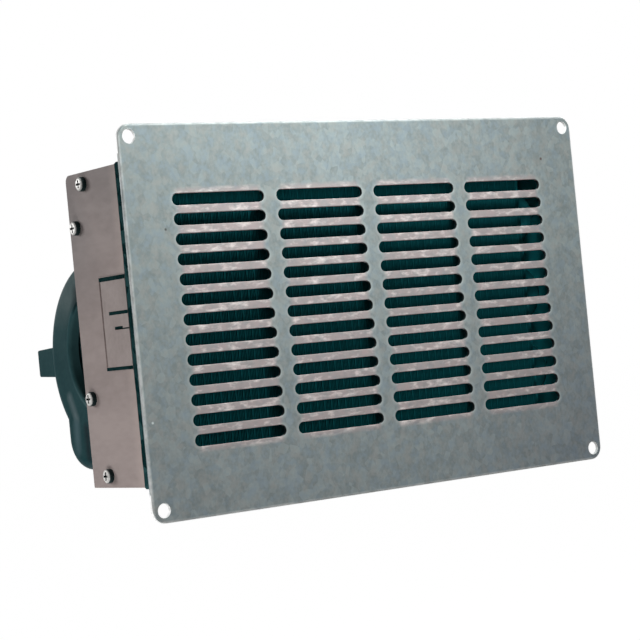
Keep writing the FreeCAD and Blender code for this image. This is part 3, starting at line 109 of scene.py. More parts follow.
class NodeSheet:
    """A node tree with short ways to add and join nodes."""

    def __init__(self, tree: bpy.types.NodeTree) -> None:
        """Takes over a tree and empties it."""
        self.tree = tree
        tree.nodes.clear()

    def add(
        self, kind: str, inputs: dict[str | int, Value] | None = None, **settings: object,
    ) -> bpy.types.Node:
        """Adds a node, sets it and joins its inputs.

        Args:
            kind: the node's type name.
            inputs: a value or an output socket for each input, by name or place.
            settings: the node's own properties.

        Returns:
            The new node.
        """
        node = self.tree.nodes.new(kind)
        for name, value in settings.items():
            setattr(node, name, value)
        for name, value in (inputs or {}).items():
            self.feed(node, name, value)
        return node

    def feed(self, node: bpy.types.Node, name: str | int, value: Value) -> None:
        """Joins an output to an input, or sets the input's own value.

        Args:
            node: the node that takes the value.
            name: the input's name or place.
            value: an output socket or a plain value.
        """
        if isinstance(value, Socket):
            self.tree.links.new(value, node.inputs[name])
        else:
            node.inputs[name].default_value = value

    def math(self, operation: str, first: Value, second: Value = 0.0) -> Socket:
        """Adds a math node."""
        return self.add("ShaderNodeMath", {0: first, 1: second}, operation=operation).outputs[0]

    def minus(self, first: Value, second: Value) -> Socket:
        """Takes the second number from the first."""
        return self.math("SUBTRACT", first, second)

    def size(self, value: Value) -> Socket:
        """Gives a number without its sign."""
        return self.math("ABSOLUTE", value)

    def product(self, *factors: Value) -> Socket:
        """Multiplies numbers.

        Args:
            factors: the numbers.

        Returns:
            The output socket.
        """
        result = factors[0]
        for factor in factors[1:]:
            result = self.math("MULTIPLY", result, factor)
        return result

    def length(self, first: Value, second: Value) -> Socket:
        """Gives the root of the sum of two squares."""
        return self.math("SQRT", self.math("ADD", self.product(first, first), self.product(second, second)))

    def distance(self, first: int, second: int, place: Pair) -> Socket:
        """Gives how far the place on the object is from another, on two axes."""
        axes = self.spot()
        return self.length(self.minus(axes[first], place[0]), self.minus(axes[second], place[1]))

    def ramp(self, value: Value, low: float, high: float, start: float = 0.0, end: float = 1.0) -> Socket:
        """Adds a clamped map from low..high to start..end."""
        inputs = {"Value": value, "From Min": low, "From Max": high, "To Min": start, "To Max": end}
        return self.add("ShaderNodeMapRange", inputs, clamp=True).outputs[0]

    def here(self) -> Socket:
        """Gives the place on the object."""
        return self.add("ShaderNodeTexCoord").outputs["Object"]

    def spot(self) -> Sockets:
        """Gives the place on the object, one socket an axis."""
        return self.add("ShaderNodeSeparateXYZ", {0: self.here()}).outputs

    def facing(self, axis: int) -> Socket:
        """Gives how squarely a face looks along an axis, either way."""
        normal = self.add("ShaderNodeNewGeometry").outputs["True Normal"]
        return self.size(self.add("ShaderNodeSeparateXYZ", {0: normal}).outputs[axis])

    def cloud(self, spot: Socket, scale: Value, detail: float, rough: float = 0.5) -> Socket:
        """Adds a noise that is read at a spot, with its scale in waves per metre."""
        inputs = {"Vector": spot, "Scale": scale, "Detail": detail, "Roughness": rough}
        return self.add("ShaderNodeTexNoise", inputs).outputs[0]

    def mix(self, factor: Value, first: Value, second: Value, blend: Blend = Blend.MIX) -> Socket:
        """Adds a colour mix.

        Args:
            factor: the share of the second colour.
            first: a colour or socket.
            second: a colour or socket.
            blend: how the second colour lies on the first.

        Returns:
            The output socket.
        """
        node = self.add("ShaderNodeMix", data_type="RGBA", blend_type=blend.value)
        for place, value in ((0, factor), (6, first), (7, second)):
            if isinstance(value, tuple):
                value = (*value, 1.0)
            self.feed(node, place, value)
        return node.outputs[2]


class Effect(NodeSheet):
    """A shader node group that several finishes share."""

    takes: ClassVar[dict[str, Kind]] = {}
    gives: ClassVar[dict[str, Kind]] = {}

    def __init__(self) -> None:
        """Builds the group with its sockets and fills it."""
        super().__init__(bpy.data.node_groups.new(type(self).__name__, "ShaderNodeTree"))
        for way, sockets in (("INPUT", self.takes), ("OUTPUT", self.gives)):
            for name, kind in sockets.items():
                self.tree.interface.new_socket(name, in_out=way, socket_type=kind.value)
        self.entry = self.add("NodeGroupInput").outputs
        self.add("NodeGroupOutput", self.wire())

    def wire(self) -> dict[str, Socket]:
        """Fills the group and gives the socket that feeds each output."""
        raise NotImplementedError

    def stretched(self) -> Socket:
        """Gives the place on the object, stretched by a factor for each axis."""
        inputs = {0: self.here(), 1: self.entry["Stretch"]}
        return self.add("ShaderNodeVectorMath", inputs, operation="MULTIPLY").outputs[0]

    @classmethod
    def place(cls, sheet: NodeSheet, **values: Value) -> Sockets:
        """Puts the group, built once, in a material with a value for each input; gives its outputs."""
        group = bpy.data.node_groups.get(cls.__name__) or cls().tree
        return sheet.add("ShaderNodeGroup", values, node_tree=group).outputs


class Mottle(Effect):
    """Soft blotches between two colours at two sizes."""

    takes = {
        "Coarse": Kind.NUMBER, "Fine": Kind.NUMBER, "Stretch": Kind.VECTOR,
        "Dark": Kind.COLOUR, "Light": Kind.COLOUR,
    }
    gives = {"Color": Kind.COLOUR, "Mask": Kind.NUMBER}
    details: ClassVar[Pair] = (3.0, 2.0)
    shares: ClassVar[Pair] = (0.6, 0.4)
    span: ClassVar[Pair] = (0.36, 0.64)

    def wire(self) -> dict[str, Socket]:
        """Mixes the colours by the sum of two noises.

        Returns:
            The socket that feeds each output.
        """
        spot = self.stretched()
        scales = (self.entry["Coarse"], self.entry["Fine"])
        clouds = [self.cloud(spot, scale, detail) for scale, detail in zip(scales, self.details)]
        total = self.math("ADD", *(self.product(cloud, share) for cloud, share in zip(clouds, self.shares)))
        mask = self.ramp(total, *self.span)
        return {"Color": self.mix(mask, self.entry["Dark"], self.entry["Light"]), "Mask": mask}


class Grain(Effect):
    """Fine unevenness for bumps and gloss."""

    takes = {"Scale": Kind.NUMBER, "Stretch": Kind.VECTOR}
    gives = {"Height": Kind.NUMBER}
    detail: ClassVar[float] = 5.0
    rough: ClassVar[float] = 0.6

    def wire(self) -> dict[str, Socket]:
        """Adds one detailed noise."""
        return {"Height": self.cloud(self.stretched(), self.entry["Scale"], self.detail, self.rough)}


class Cells(Effect):
    """Crystal or foam cells: a value for each cell and the distance from its middle."""

    takes = {"Scale": Kind.NUMBER, "Stretch": Kind.VECTOR}
    gives = {"Value": Kind.NUMBER, "Depth": Kind.NUMBER}

    def wire(self) -> dict[str, Socket]:
        """Adds a cell texture.

        Returns:
            The socket that feeds each output.
        """
        inputs = {"Vector": self.stretched(), "Scale": self.entry["Scale"]}
        cell = self.add("ShaderNodeTexVoronoi", inputs).outputs
        red = self.add("ShaderNodeSeparateColor", {0: cell["Color"]}).outputs[0]
        return {"Value": red, "Depth": cell["Distance"]}


class EdgeWear(Effect):
    """Rubbed edges, broken up by noise."""

    takes = {"Radius": Kind.NUMBER, "Breakup": Kind.NUMBER}
    gives = {"Mask": Kind.NUMBER}
    samples: ClassVar[int] = 4
    turned: ClassVar[Pair] = (0.97, 0.80)
    detail: ClassVar[float] = 3.0
    broken: ClassVar[Pair] = (0.34, 0.62)

    def wire(self) -> dict[str, Socket]:
        """Compares the rounded normal with the true one.

        Returns:
            The socket that feeds each output.
        """
        soft = self.add("ShaderNodeBevel", {"Radius": self.entry["Radius"]}, samples=self.samples).outputs[0]
        true = self.add("ShaderNodeNewGeometry").outputs["True Normal"]
        same = self.add("ShaderNodeVectorMath", {0: soft, 1: true}, operation="DOT_PRODUCT").outputs["Value"]
        breaks = self.cloud(self.here(), self.entry["Breakup"], self.detail)
        return {"Mask": self.product(self.ramp(same, *self.turned), self.ramp(breaks, *self.broken))}


class Dust(Effect):
    """Thin dust on faces that look up."""

    takes = {"Scale": Kind.NUMBER}
    gives = {"Mask": Kind.NUMBER}
    upward: ClassVar[Pair] = (0.25, 1.0)
    detail: ClassVar[float] = 4.0
    cloudy: ClassVar[Pair] = (0.35, 0.7)

    def wire(self) -> dict[str, Socket]:
        """Multiplies the upward share by noise.

        Returns:
            The socket that feeds each output.
        """
        normal = self.add("ShaderNodeNewGeometry").outputs["Normal"]
        up = self.add("ShaderNodeSeparateXYZ", {0: normal}).outputs[2]
        cloud = self.cloud(self.here(), self.entry["Scale"], self.detail)
        return {"Mask": self.product(self.ramp(up, *self.upward), self.ramp(cloud, *self.cloudy))}


@dataclass(frozen=True)
class Layer:
    """A colour that lies on a finish where its mask says."""

    mask: Socket
    colour: Colour
    blend: Blend = Blend.MIX


@dataclass(frozen=True)
class Patch:
    """A colour in uneven patches, with the noise's band that shows it and the noise's scale."""

    colour: Colour
    band: tuple[float, ...]
    scale: float
    stretch: Triple = EVEN

    def layer(self, sheet: NodeSheet, *masks: Value) -> Layer:
        """Gives the patches where the masks let them show."""
        height = Grain.place(sheet, Scale=self.scale, Stretch=self.stretch)["Height"]
        return Layer(sheet.product(*masks, sheet.ramp(height, *self.band)), self.colour)


@dataclass(frozen=True)
class Finish:
    """One finish, with its colours, gloss and fine relief.

    Scales are in waves per metre and depths in metres. A band holds two numbers and the share at each.
    """

    dark: Colour
    light: Colour
    metallic: float = 0.0
    gloss: Pair = (0.45, 0.6)
    coarse: float = 90.0
    fine: float = 500.0
    grain: float = 1500.0
    depth: float = 0.00003
    stretch: Triple = EVEN
    specular: float = 0.4
    worn: Colour = (0.5, 0.5, 0.5)
    wear: float = 0.0
    wear_radius: float = 0.0008
    wear_breaks: float = 260.0
    dust: float = 0.0
    dust_cloud: float = 60.0
    dust_grey: Colour = (0.42, 0.41, 0.38)
    dust_matt: float = 0.3

    def material(self, title: str) -> bpy.types.Material:
        """Builds the material.

        Args:
            title: the material's name.

        Returns:
            The material.
        """
        made = bpy.data.materials.new(title)
        made.use_nodes = True
        made.diffuse_color = (*self.light, 1.0)
        sheet = NodeSheet(made.node_tree)
        blotch = Mottle.place(
            sheet, Coarse=self.coarse, Fine=self.fine, Stretch=self.stretch,
            Dark=(*self.dark, 1.0), Light=(*self.light, 1.0),
        )
        colour = blotch["Color"]
        rough = sheet.ramp(blotch["Mask"], 0.0, 1.0, self.gloss[1], self.gloss[0])
        for layer in self.layers(sheet):
            colour = sheet.mix(layer.mask, colour, layer.colour, layer.blend)
        if self.wear:
            colour = sheet.mix(sheet.product(self.edge_mask(sheet), self.wear), colour, self.worn)
        if self.dust:
            mask = sheet.product(Dust.place(sheet, Scale=self.dust_cloud)["Mask"], self.dust)
            colour = sheet.mix(mask, colour, self.dust_grey)
            rough = sheet.math("ADD", rough, sheet.product(mask, self.dust_matt))
        bump = sheet.add("ShaderNodeBump", {"Height": self.relief(sheet), "Distance": self.depth})
        shader = sheet.add("ShaderNodeBsdfPrincipled", {
            "Base Color": colour, "Roughness": rough, "Normal": bump.outputs[0],
            "Metallic": self.metallic, "Specular IOR Level": self.specular,
        })
        sheet.add("ShaderNodeOutputMaterial", {"Surface": shader.outputs[0]})
        return made

    def layers(self, sheet: NodeSheet) -> list[Layer]:
        """Gives the layers on the blotched colour, the lowest first; a plain finish has none."""
        return []

    def edge_mask(self, sheet: NodeSheet) -> Socket:
        """Gives the mask of the rubbed edges."""
        return EdgeWear.place(sheet, Radius=self.wear_radius, Breakup=self.wear_breaks)["Mask"]

    def relief(self, sheet: NodeSheet) -> Socket:
        """Gives the height of the fine relief."""
        return Grain.place(sheet, Scale=self.grain, Stretch=self.stretch)["Height"]


@dataclass(frozen=True)
class Speck:
    """A small round mark on the faceplate, at a place (x, z)."""

    place: Pair
    radius: float
    colour: Colour
    core: ClassVar[float] = 0.4
    strength: ClassVar[float] = 0.85

    def mask(self, sheet: NodeSheet) -> Socket:
        """Gives how strongly the mark shows."""
        off = sheet.distance(0, 2, self.place)
        return sheet.ramp(off, self.radius, self.core * self.radius, 0.0, self.strength)


@dataclass(frozen=True)
class PlateFinish(Finish):
    """Spangled sheet with warm worn bars between the slots, a few specks, painted shade at its upper left and
    lower right, a painted highlight on its rim, painted shade on the slots' end walls and painted light on
    the hole walls.
    """

    half_width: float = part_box("faceplate")[1].x
    half_height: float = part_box("faceplate")[1].z
    pitch_x: float = 0.0693
    pitch_z: float = 0.011
    slot_length: float = 0.0605
    slot_height: float = 0.0065
    half_rows: float = 0.0715
    field_rows: Pair = (0.0015, -0.0015)
    field_end: Pair = (0.0, -0.004)
    spangle: float = 270.0
    spangle_stretch: Triple = (1.0, 1.0, 0.8)
    glint: Colour = (0.377, 0.414, 0.411)
    glint_band: Band = (0.4, 1.0, 0.0, 0.55)
    shade_band: Band = (0.35, 0.0, 0.0, 0.3)
    # painted shade: darkens the upper left of the plate
    dull: Colour = (0.205, 0.232, 0.224)
    dull_x: Pair = (-0.02, -0.16)
    dull_z: Pair = (-0.08, 0.09)
    dull_share: float = 0.35
    cool: Patch = Patch((0.270, 0.328, 0.372), (0.50, 0.66, 0.0, 0.55), 180.0)
    warm: Patch = Patch((0.345, 0.338, 0.318), (0.50, 0.34, 0.0, 0.55), 180.0)
    # painted shade, multiplied onto the foot of the plate and strongest at the right
    foot: Colour = (0.81, 0.80, 0.855)
    foot_rise: Pair = (0.3, -1.0)
    foot_run: Band = (0.2, 1.0, 0.3, 0.95)
    # painted highlight along the front of the plate's rounded rim
    rim: Patch = Patch((0.74, 0.75, 0.74), (0.35, 0.6, 0.3, 0.85), 160.0)
    rim_width: Pair = (0.0016, 0.00048)
    rim_facing: Pair = (0.05, 0.3)
    bar_inset: float = 0.0012
    bar_fade: float = 0.003
    rib: Patch = Patch((0.47, 0.375, 0.37), (0.3, 0.6, 0.45, 0.9), 300.0, (0.7, 1.0, 1.0))
    # worn bright patches on the bars between the slots
    rubbed: Patch = Patch((0.87, 0.77, 0.74), (0.50, 0.75), 330.0, (0.45, 1.0, 1.0))
    burr: Colour = (0.46, 0.49, 0.48)
    burr_band: Band = (0.0022, 0.0004, 0.0, 0.6)
    burr_start: float = 0.002
    # painted shade on the end walls of the slots
    cut_edge: Colour = (0.010, 0.016, 0.017)
    cut_facing: Pair = (0.4, 0.7)
    # painted light: the corner holes' walls near-white, as bright as the lit background
    hole_edge: Colour = (0.92, 0.92, 0.91)
    hole_rise: Pair = (0.020, 0.021)
    hole_facing: Pair = (0.6, 0.3)
    wear_facing: Pair = (0.3, 0.7)
    specks: tuple[Speck, ...] = (
        Speck((-0.1403, 0.0498), 0.0010, (0.07, 0.065, 0.06)),
        Speck((0.1378, 0.0819), 0.0012, (0.10, 0.05, 0.045)),
        Speck((-0.1600, -0.0536), 0.0009, (0.75, 0.78, 0.78)),
    )

    def layers(self, sheet: NodeSheet) -> list[Layer]:
        """Gives the spangle, the stained and rubbed edges, the bars, the cut walls and the specks."""
        found = [layer for step in (self.spangles, self.edges, self.bars, self.cuts) for layer in step(sheet)]
        return found + [Layer(speck.mask(sheet), speck.colour) for speck in self.specks]

    def edge_mask(self, sheet: NodeSheet) -> Socket:
        """Keeps the rubbing off the walls of the slots and holes."""
        return sheet.product(super().edge_mask(sheet), sheet.ramp(sheet.facing(1), *self.wear_facing))

    def spangles(self, sheet: NodeSheet) -> list[Layer]:
        """Gives the crystals' light and dark faces, painted shade on the upper left and soft clouds of
        colour.

        Args:
            sheet: the material's nodes.

        Returns:
            The layers, the lowest first.
        """
        axes = sheet.spot()
        crystal = Cells.place(sheet, Scale=self.spangle, Stretch=self.spangle_stretch)["Value"]
        left = sheet.ramp(axes[0], *self.dull_x)
        high = sheet.ramp(axes[2], *self.dull_z)
        return [
            Layer(sheet.ramp(crystal, *self.glint_band), self.glint),
            Layer(sheet.ramp(crystal, *self.shade_band), self.dark),
            Layer(sheet.product(left, high, self.dull_share), self.dull),
            self.cool.layer(sheet),
            self.warm.layer(sheet),
        ]

    def edges(self, sheet: NodeSheet) -> list[Layer]:
        """Paints shade on the foot of the plate, most of all at the right, and paints a highlight along its
        rounded rim.

        Args:
            sheet: the material's nodes.

        Returns:
            The layers, the lowest first.
        """
        axes = sheet.spot()
        low = sheet.ramp(axes[2], *scaled(self.foot_rise, self.half_height))
        right = sheet.ramp(axes[0], *scaled(self.foot_run, self.half_width))
        beside = sheet.minus(self.half_width, sheet.size(axes[0]))
        above = sheet.minus(self.half_height, sheet.size(axes[2]))
        border = sheet.ramp(sheet.math("MINIMUM", beside, above), *self.rim_width)
        front = sheet.ramp(sheet.facing(1), *self.rim_facing)
        foot_shade = Layer(sheet.product(low, right), self.foot, Blend.MULTIPLY)
        return [foot_shade, self.rim.layer(sheet, border, front)]

    def grille(self, sheet: NodeSheet) -> Socket:
        """Gives the mask of the field that holds the slots.

        Args:
            sheet: the material's nodes.

        Returns:
            The mask.
        """
        axes = sheet.spot()
        rows = sheet.ramp(sheet.size(axes[2]), *shifted(self.field_rows, self.half_rows))
        reach = sheet.ramp(sheet.size(axes[0]), *shifted(self.field_end, 2.0 * self.pitch_x))
        return sheet.product(rows, reach)

    def bars(self, sheet: NodeSheet) -> list[Layer]:
        """Warms and rubs the bars between the slots and brightens the slots' ends.

        Args:
            sheet: the material's nodes.

        Returns:
            The layers, the lowest first.
        """
        axes = sheet.spot()
        field = self.grille(sheet)
        edge = (self.pitch_x - self.slot_length) / 2.0 + self.bar_inset
        gap = sheet.math("PINGPONG", sheet.math("ADD", axes[0], 2.0 * self.pitch_x), self.pitch_x / 2.0)
        bars = sheet.product(sheet.ramp(gap, edge, edge + self.bar_fade), field)
        round_end = (self.pitch_x - self.slot_length + self.slot_height) / 2.0
        past = sheet.math("MAXIMUM", sheet.minus(round_end, gap), 0.0)
        row = sheet.math("PINGPONG", axes[2], self.pitch_z / 2.0)
        off = sheet.minus(sheet.length(past, row), self.slot_height / 2.0)
        rounded = sheet.ramp(past, 0.0, self.burr_start)
        return [
            self.rib.layer(sheet, bars),
            self.rubbed.layer(sheet, bars),
            Layer(sheet.product(sheet.ramp(off, *self.burr_band), rounded, field), self.burr),
        ]

    def cuts(self, sheet: NodeSheet) -> list[Layer]:
        """Paints shade on the end walls of the slots and paints the walls of the corner holes near-white as
        painted light.

        Args:
            sheet: the material's nodes.

        Returns:
            The layers, the lowest first.
        """
        ends = sheet.product(sheet.ramp(sheet.facing(0), *self.cut_facing), self.grille(sheet))
        corner = sheet.ramp(sheet.size(sheet.spot()[2]), *shifted(self.hole_rise, self.half_rows))
        walls = sheet.product(sheet.ramp(sheet.facing(1), *self.hole_facing), corner)
        return [Layer(ends, self.cut_edge), Layer(walls, self.hole_edge)]


@dataclass(frozen=True)
class CasingFinish(Finish):
    """Warm grey sheet with painted shade towards its rear and top, painted light along its front, dark
    inside, and painted light on the side panels' inner faces.
    """

    front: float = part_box("seal_strip")[1].y
    side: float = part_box("right_side_panel")[1].x
    rear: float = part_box("left_side_panel")[1].y
    top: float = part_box("left_side_panel")[1].z
    half_sheet: float = 0.0006
    # painted shade: greys the upper rear and the top of the side sheet
    dull: Colour = (0.170, 0.163, 0.165)
    behind: Band = (0.45, 1.0, 0.0, 0.6)
    upper: Band = (0.0, 0.6, 0.12, 1.0)
    above: Band = (0.35, 1.0, 0.0, 0.45)
    # painted light: a lighter, warmer strip along the front edge beside the seal
    rubbed: Patch = Patch((0.47, 0.385, 0.355), (0.3, 0.65, 0.15, 0.5), 90.0, (1.0, 0.4, 1.0))
    rub_reach: Pair = (0.009, 0.001)
    inside: Colour = (0.005, 0.090, 0.102)
    # painted light: lighter teal on the inner faces of the side panels
    lining: Colour = (0.016, 0.340, 0.385)
    lining_depth: float = 0.0024

    def layers(self, sheet: NodeSheet) -> list[Layer]:
        """Paints shade on the upper rear and the top, paints light along the edge beside the seal, darkens
        the inside and paints light on the side panels' inner faces.

        Args:
            sheet: the material's nodes.

        Returns:
            The layers, the lowest first.
        """
        axes = sheet.spot()
        aside = sheet.size(axes[0])
        behind = sheet.ramp(axes[1], *scaled(self.behind, self.rear))
        upper = sheet.ramp(axes[2], *scaled(self.upper, self.top))
        above = sheet.ramp(axes[2], *scaled(self.above, self.top))
        near = sheet.ramp(axes[1], *shifted(self.rub_reach, self.front))
        within = sheet.product(
            sheet.math("LESS_THAN", axes[1], self.rear - self.half_sheet),
            sheet.math("LESS_THAN", aside, self.side - self.half_sheet),
            sheet.math("LESS_THAN", sheet.size(axes[2]), self.top - self.half_sheet),
        )
        wall = sheet.math("GREATER_THAN", aside, self.side - self.lining_depth)
        return [
            Layer(sheet.math("MAXIMUM", sheet.product(behind, upper), above), self.dull),
            self.rubbed.layer(sheet, near),
            Layer(within, self.inside),
            Layer(sheet.product(within, wall), self.lining),
        ]


@dataclass(frozen=True)
class CoreFinish(Finish):
    """Core paint with dust along its foot and painted light along its top band and crown."""

    top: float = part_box("core_fins")[1].z
    # dust on the core's foot; on the top band the same colour is painted light
    dusty: Colour = (0.005, 0.105, 0.118)
    foot: Pair = (0.1, -0.9)
    head: Pair = (0.79, 0.84)
    # painted light on the crown of the core
    grey: Colour = (0.014, 0.300, 0.340)
    crown: Pair = (0.84, 0.87)

    def layers(self, sheet: NodeSheet) -> list[Layer]:
        """Lays the dust on the foot and the painted light on the top.

        Args:
            sheet: the material's nodes.

        Returns:
            The layers, the lowest first.
        """
        height = sheet.spot()[2]
        foot, head, crown = (
            sheet.ramp(height, *scaled(band, self.top)) for band in (self.foot, self.head, self.crown)
        )
        return [Layer(sheet.math("MAXIMUM", foot, head), self.dusty), Layer(crown, self.grey)]


@dataclass(frozen=True)
class HeadFinish(Finish):
    """Screw heads with bright tops and painted shade on their flanks."""

    # painted shade on the heads' flanks
    grime: Colour = (0.012, 0.026, 0.027)
    flank: Pair = (0.8, 0.5)

    def layers(self, sheet: NodeSheet) -> list[Layer]:
        """Paints shade on what doesn't look sideways."""
        return [Layer(sheet.ramp(sheet.facing(0), *self.flank), self.grime)]


@dataclass(frozen=True)
class Scuff:
    """A long mark of painted light on the outer side of the left housing, from one place (y, z) to another: a
    highlight where light and a shade where dark.
    """

    start: Pair
    end: Pair
    width: float
    colour: Colour
    core: ClassVar[float] = 0.1

    def mask(self, sheet: NodeSheet) -> Socket:
        """Gives how strongly the mark shows.

        Args:
            sheet: the material's nodes.

        Returns:
            The mask, soft at the mark's border.
        """
        half = (Vector(self.end) - Vector(self.start)) / 2.0
        centre = Vector(self.start) + half
        way = half.normalized()
        axes = sheet.spot()
        y = sheet.minus(axes[1], centre.x)
        z = sheet.minus(axes[2], centre.y)
        along = sheet.math("ADD", sheet.product(y, way.x), sheet.product(z, way.y))
        across = sheet.minus(sheet.product(z, way.x), sheet.product(y, way.y))
        past = sheet.math("MAXIMUM", sheet.minus(sheet.size(along), half.length), 0.0)
        mark = sheet.ramp(sheet.length(past, across), self.width, self.core * self.width)
        return sheet.product(mark, sheet.math("LESS_THAN", axes[0], 0.0))


@dataclass(frozen=True)
class HousingFinish(Finish):
    """Moulded housing with painted light round the inlet eyes, a painted highlight on the upper shoulder and
    long marks of painted highlight and painted shade.
    """

    hub: Pair = tuple(middle("left_wheel").yz)
    eye: float = 0.037
    cloud: float = 70.0
    cloud_band: Band = (0.3, 0.6, 0.6, 1.0)
    # painted light, in patches, round the lip of each inlet eye
    lip_dust: Colour = (0.065, 0.150, 0.160)
    lip: Band = (0.003, 0.0005, 0.0, 0.8)
    # painted highlight on the upper shoulder round each eye
    faded: Colour = (0.062, 0.097, 0.100)
    fade_rise: Pair = (0.004, 0.022)
    fade_start: Pair = (0.002, 0.006)
    flat: Pair = (0.5, 0.8)
    # painted highlights (the two light marks) and painted shade (the two dark marks)
    scuffs: tuple[Scuff, ...] = (
        Scuff((0.1800, -0.0380), (0.1738, -0.0510), 0.0046, (0.085, 0.128, 0.137)),
        Scuff((0.1746, -0.0550), (0.1756, -0.0700), 0.0060, (0.050, 0.098, 0.112)),
        Scuff((0.1625, -0.0580), (0.1625, -0.0760), 0.0052, (0.001, 0.010, 0.014)),
        Scuff((0.1630, 0.0150), (0.1595, 0.0270), 0.0060, (0.001, 0.010, 0.012)),
    )

    def layers(self, sheet: NodeSheet) -> list[Layer]:
        """Adds the painted light round the eyes, the painted shoulder highlight and the painted marks.

        Args:
            sheet: the material's nodes.

        Returns:
            The layers, the lowest first.
        """
        axes = sheet.spot()
        off = sheet.distance(1, 2, self.hub)
        cloud = sheet.ramp(Grain.place(sheet, Scale=self.cloud, Stretch=EVEN)["Height"], *self.cloud_band)
        flat = sheet.product(sheet.ramp(sheet.facing(0), *self.flat), cloud)
        lip = sheet.ramp(off, *shifted(self.lip, self.eye))
        beyond = sheet.ramp(off, *shifted(self.fade_start, self.eye))
        shoulder = sheet.product(sheet.ramp(axes[2], *self.fade_rise), beyond, flat)
        return [
            Layer(sheet.product(lip, cloud), self.lip_dust),
            Layer(shoulder, self.faded),
            *(Layer(sheet.product(light_mark.mask(sheet), flat), light_mark.colour) for light_mark in self.scuffs),
        ]


@dataclass(frozen=True)
class CellFinish(Finish):
    """Foam or cast skin with small pits."""

    cell: float = 900.0

    def relief(self, sheet: NodeSheet) -> Socket:
        """Gives the pits' height."""
        return Cells.place(sheet, Scale=self.cell, Stretch=self.stretch)["Depth"]


@dataclass(frozen=True)
class FoamFinish(CellFinish):
    """Torn foam with patches of dust."""

    # patches of dust on the foam
    dusty: Colour = (0.028, 0.080, 0.084)
    patch: float = 170.0
    patch_band: Band = (0.25, 1.0, 0.0, 0.8)

    def layers(self, sheet: NodeSheet) -> list[Layer]:
        """Adds the dusty patches."""
        patch = Cells.place(sheet, Scale=self.patch, Stretch=self.stretch)["Value"]
        return [Layer(sheet.ramp(patch, *self.patch_band), self.dusty)]


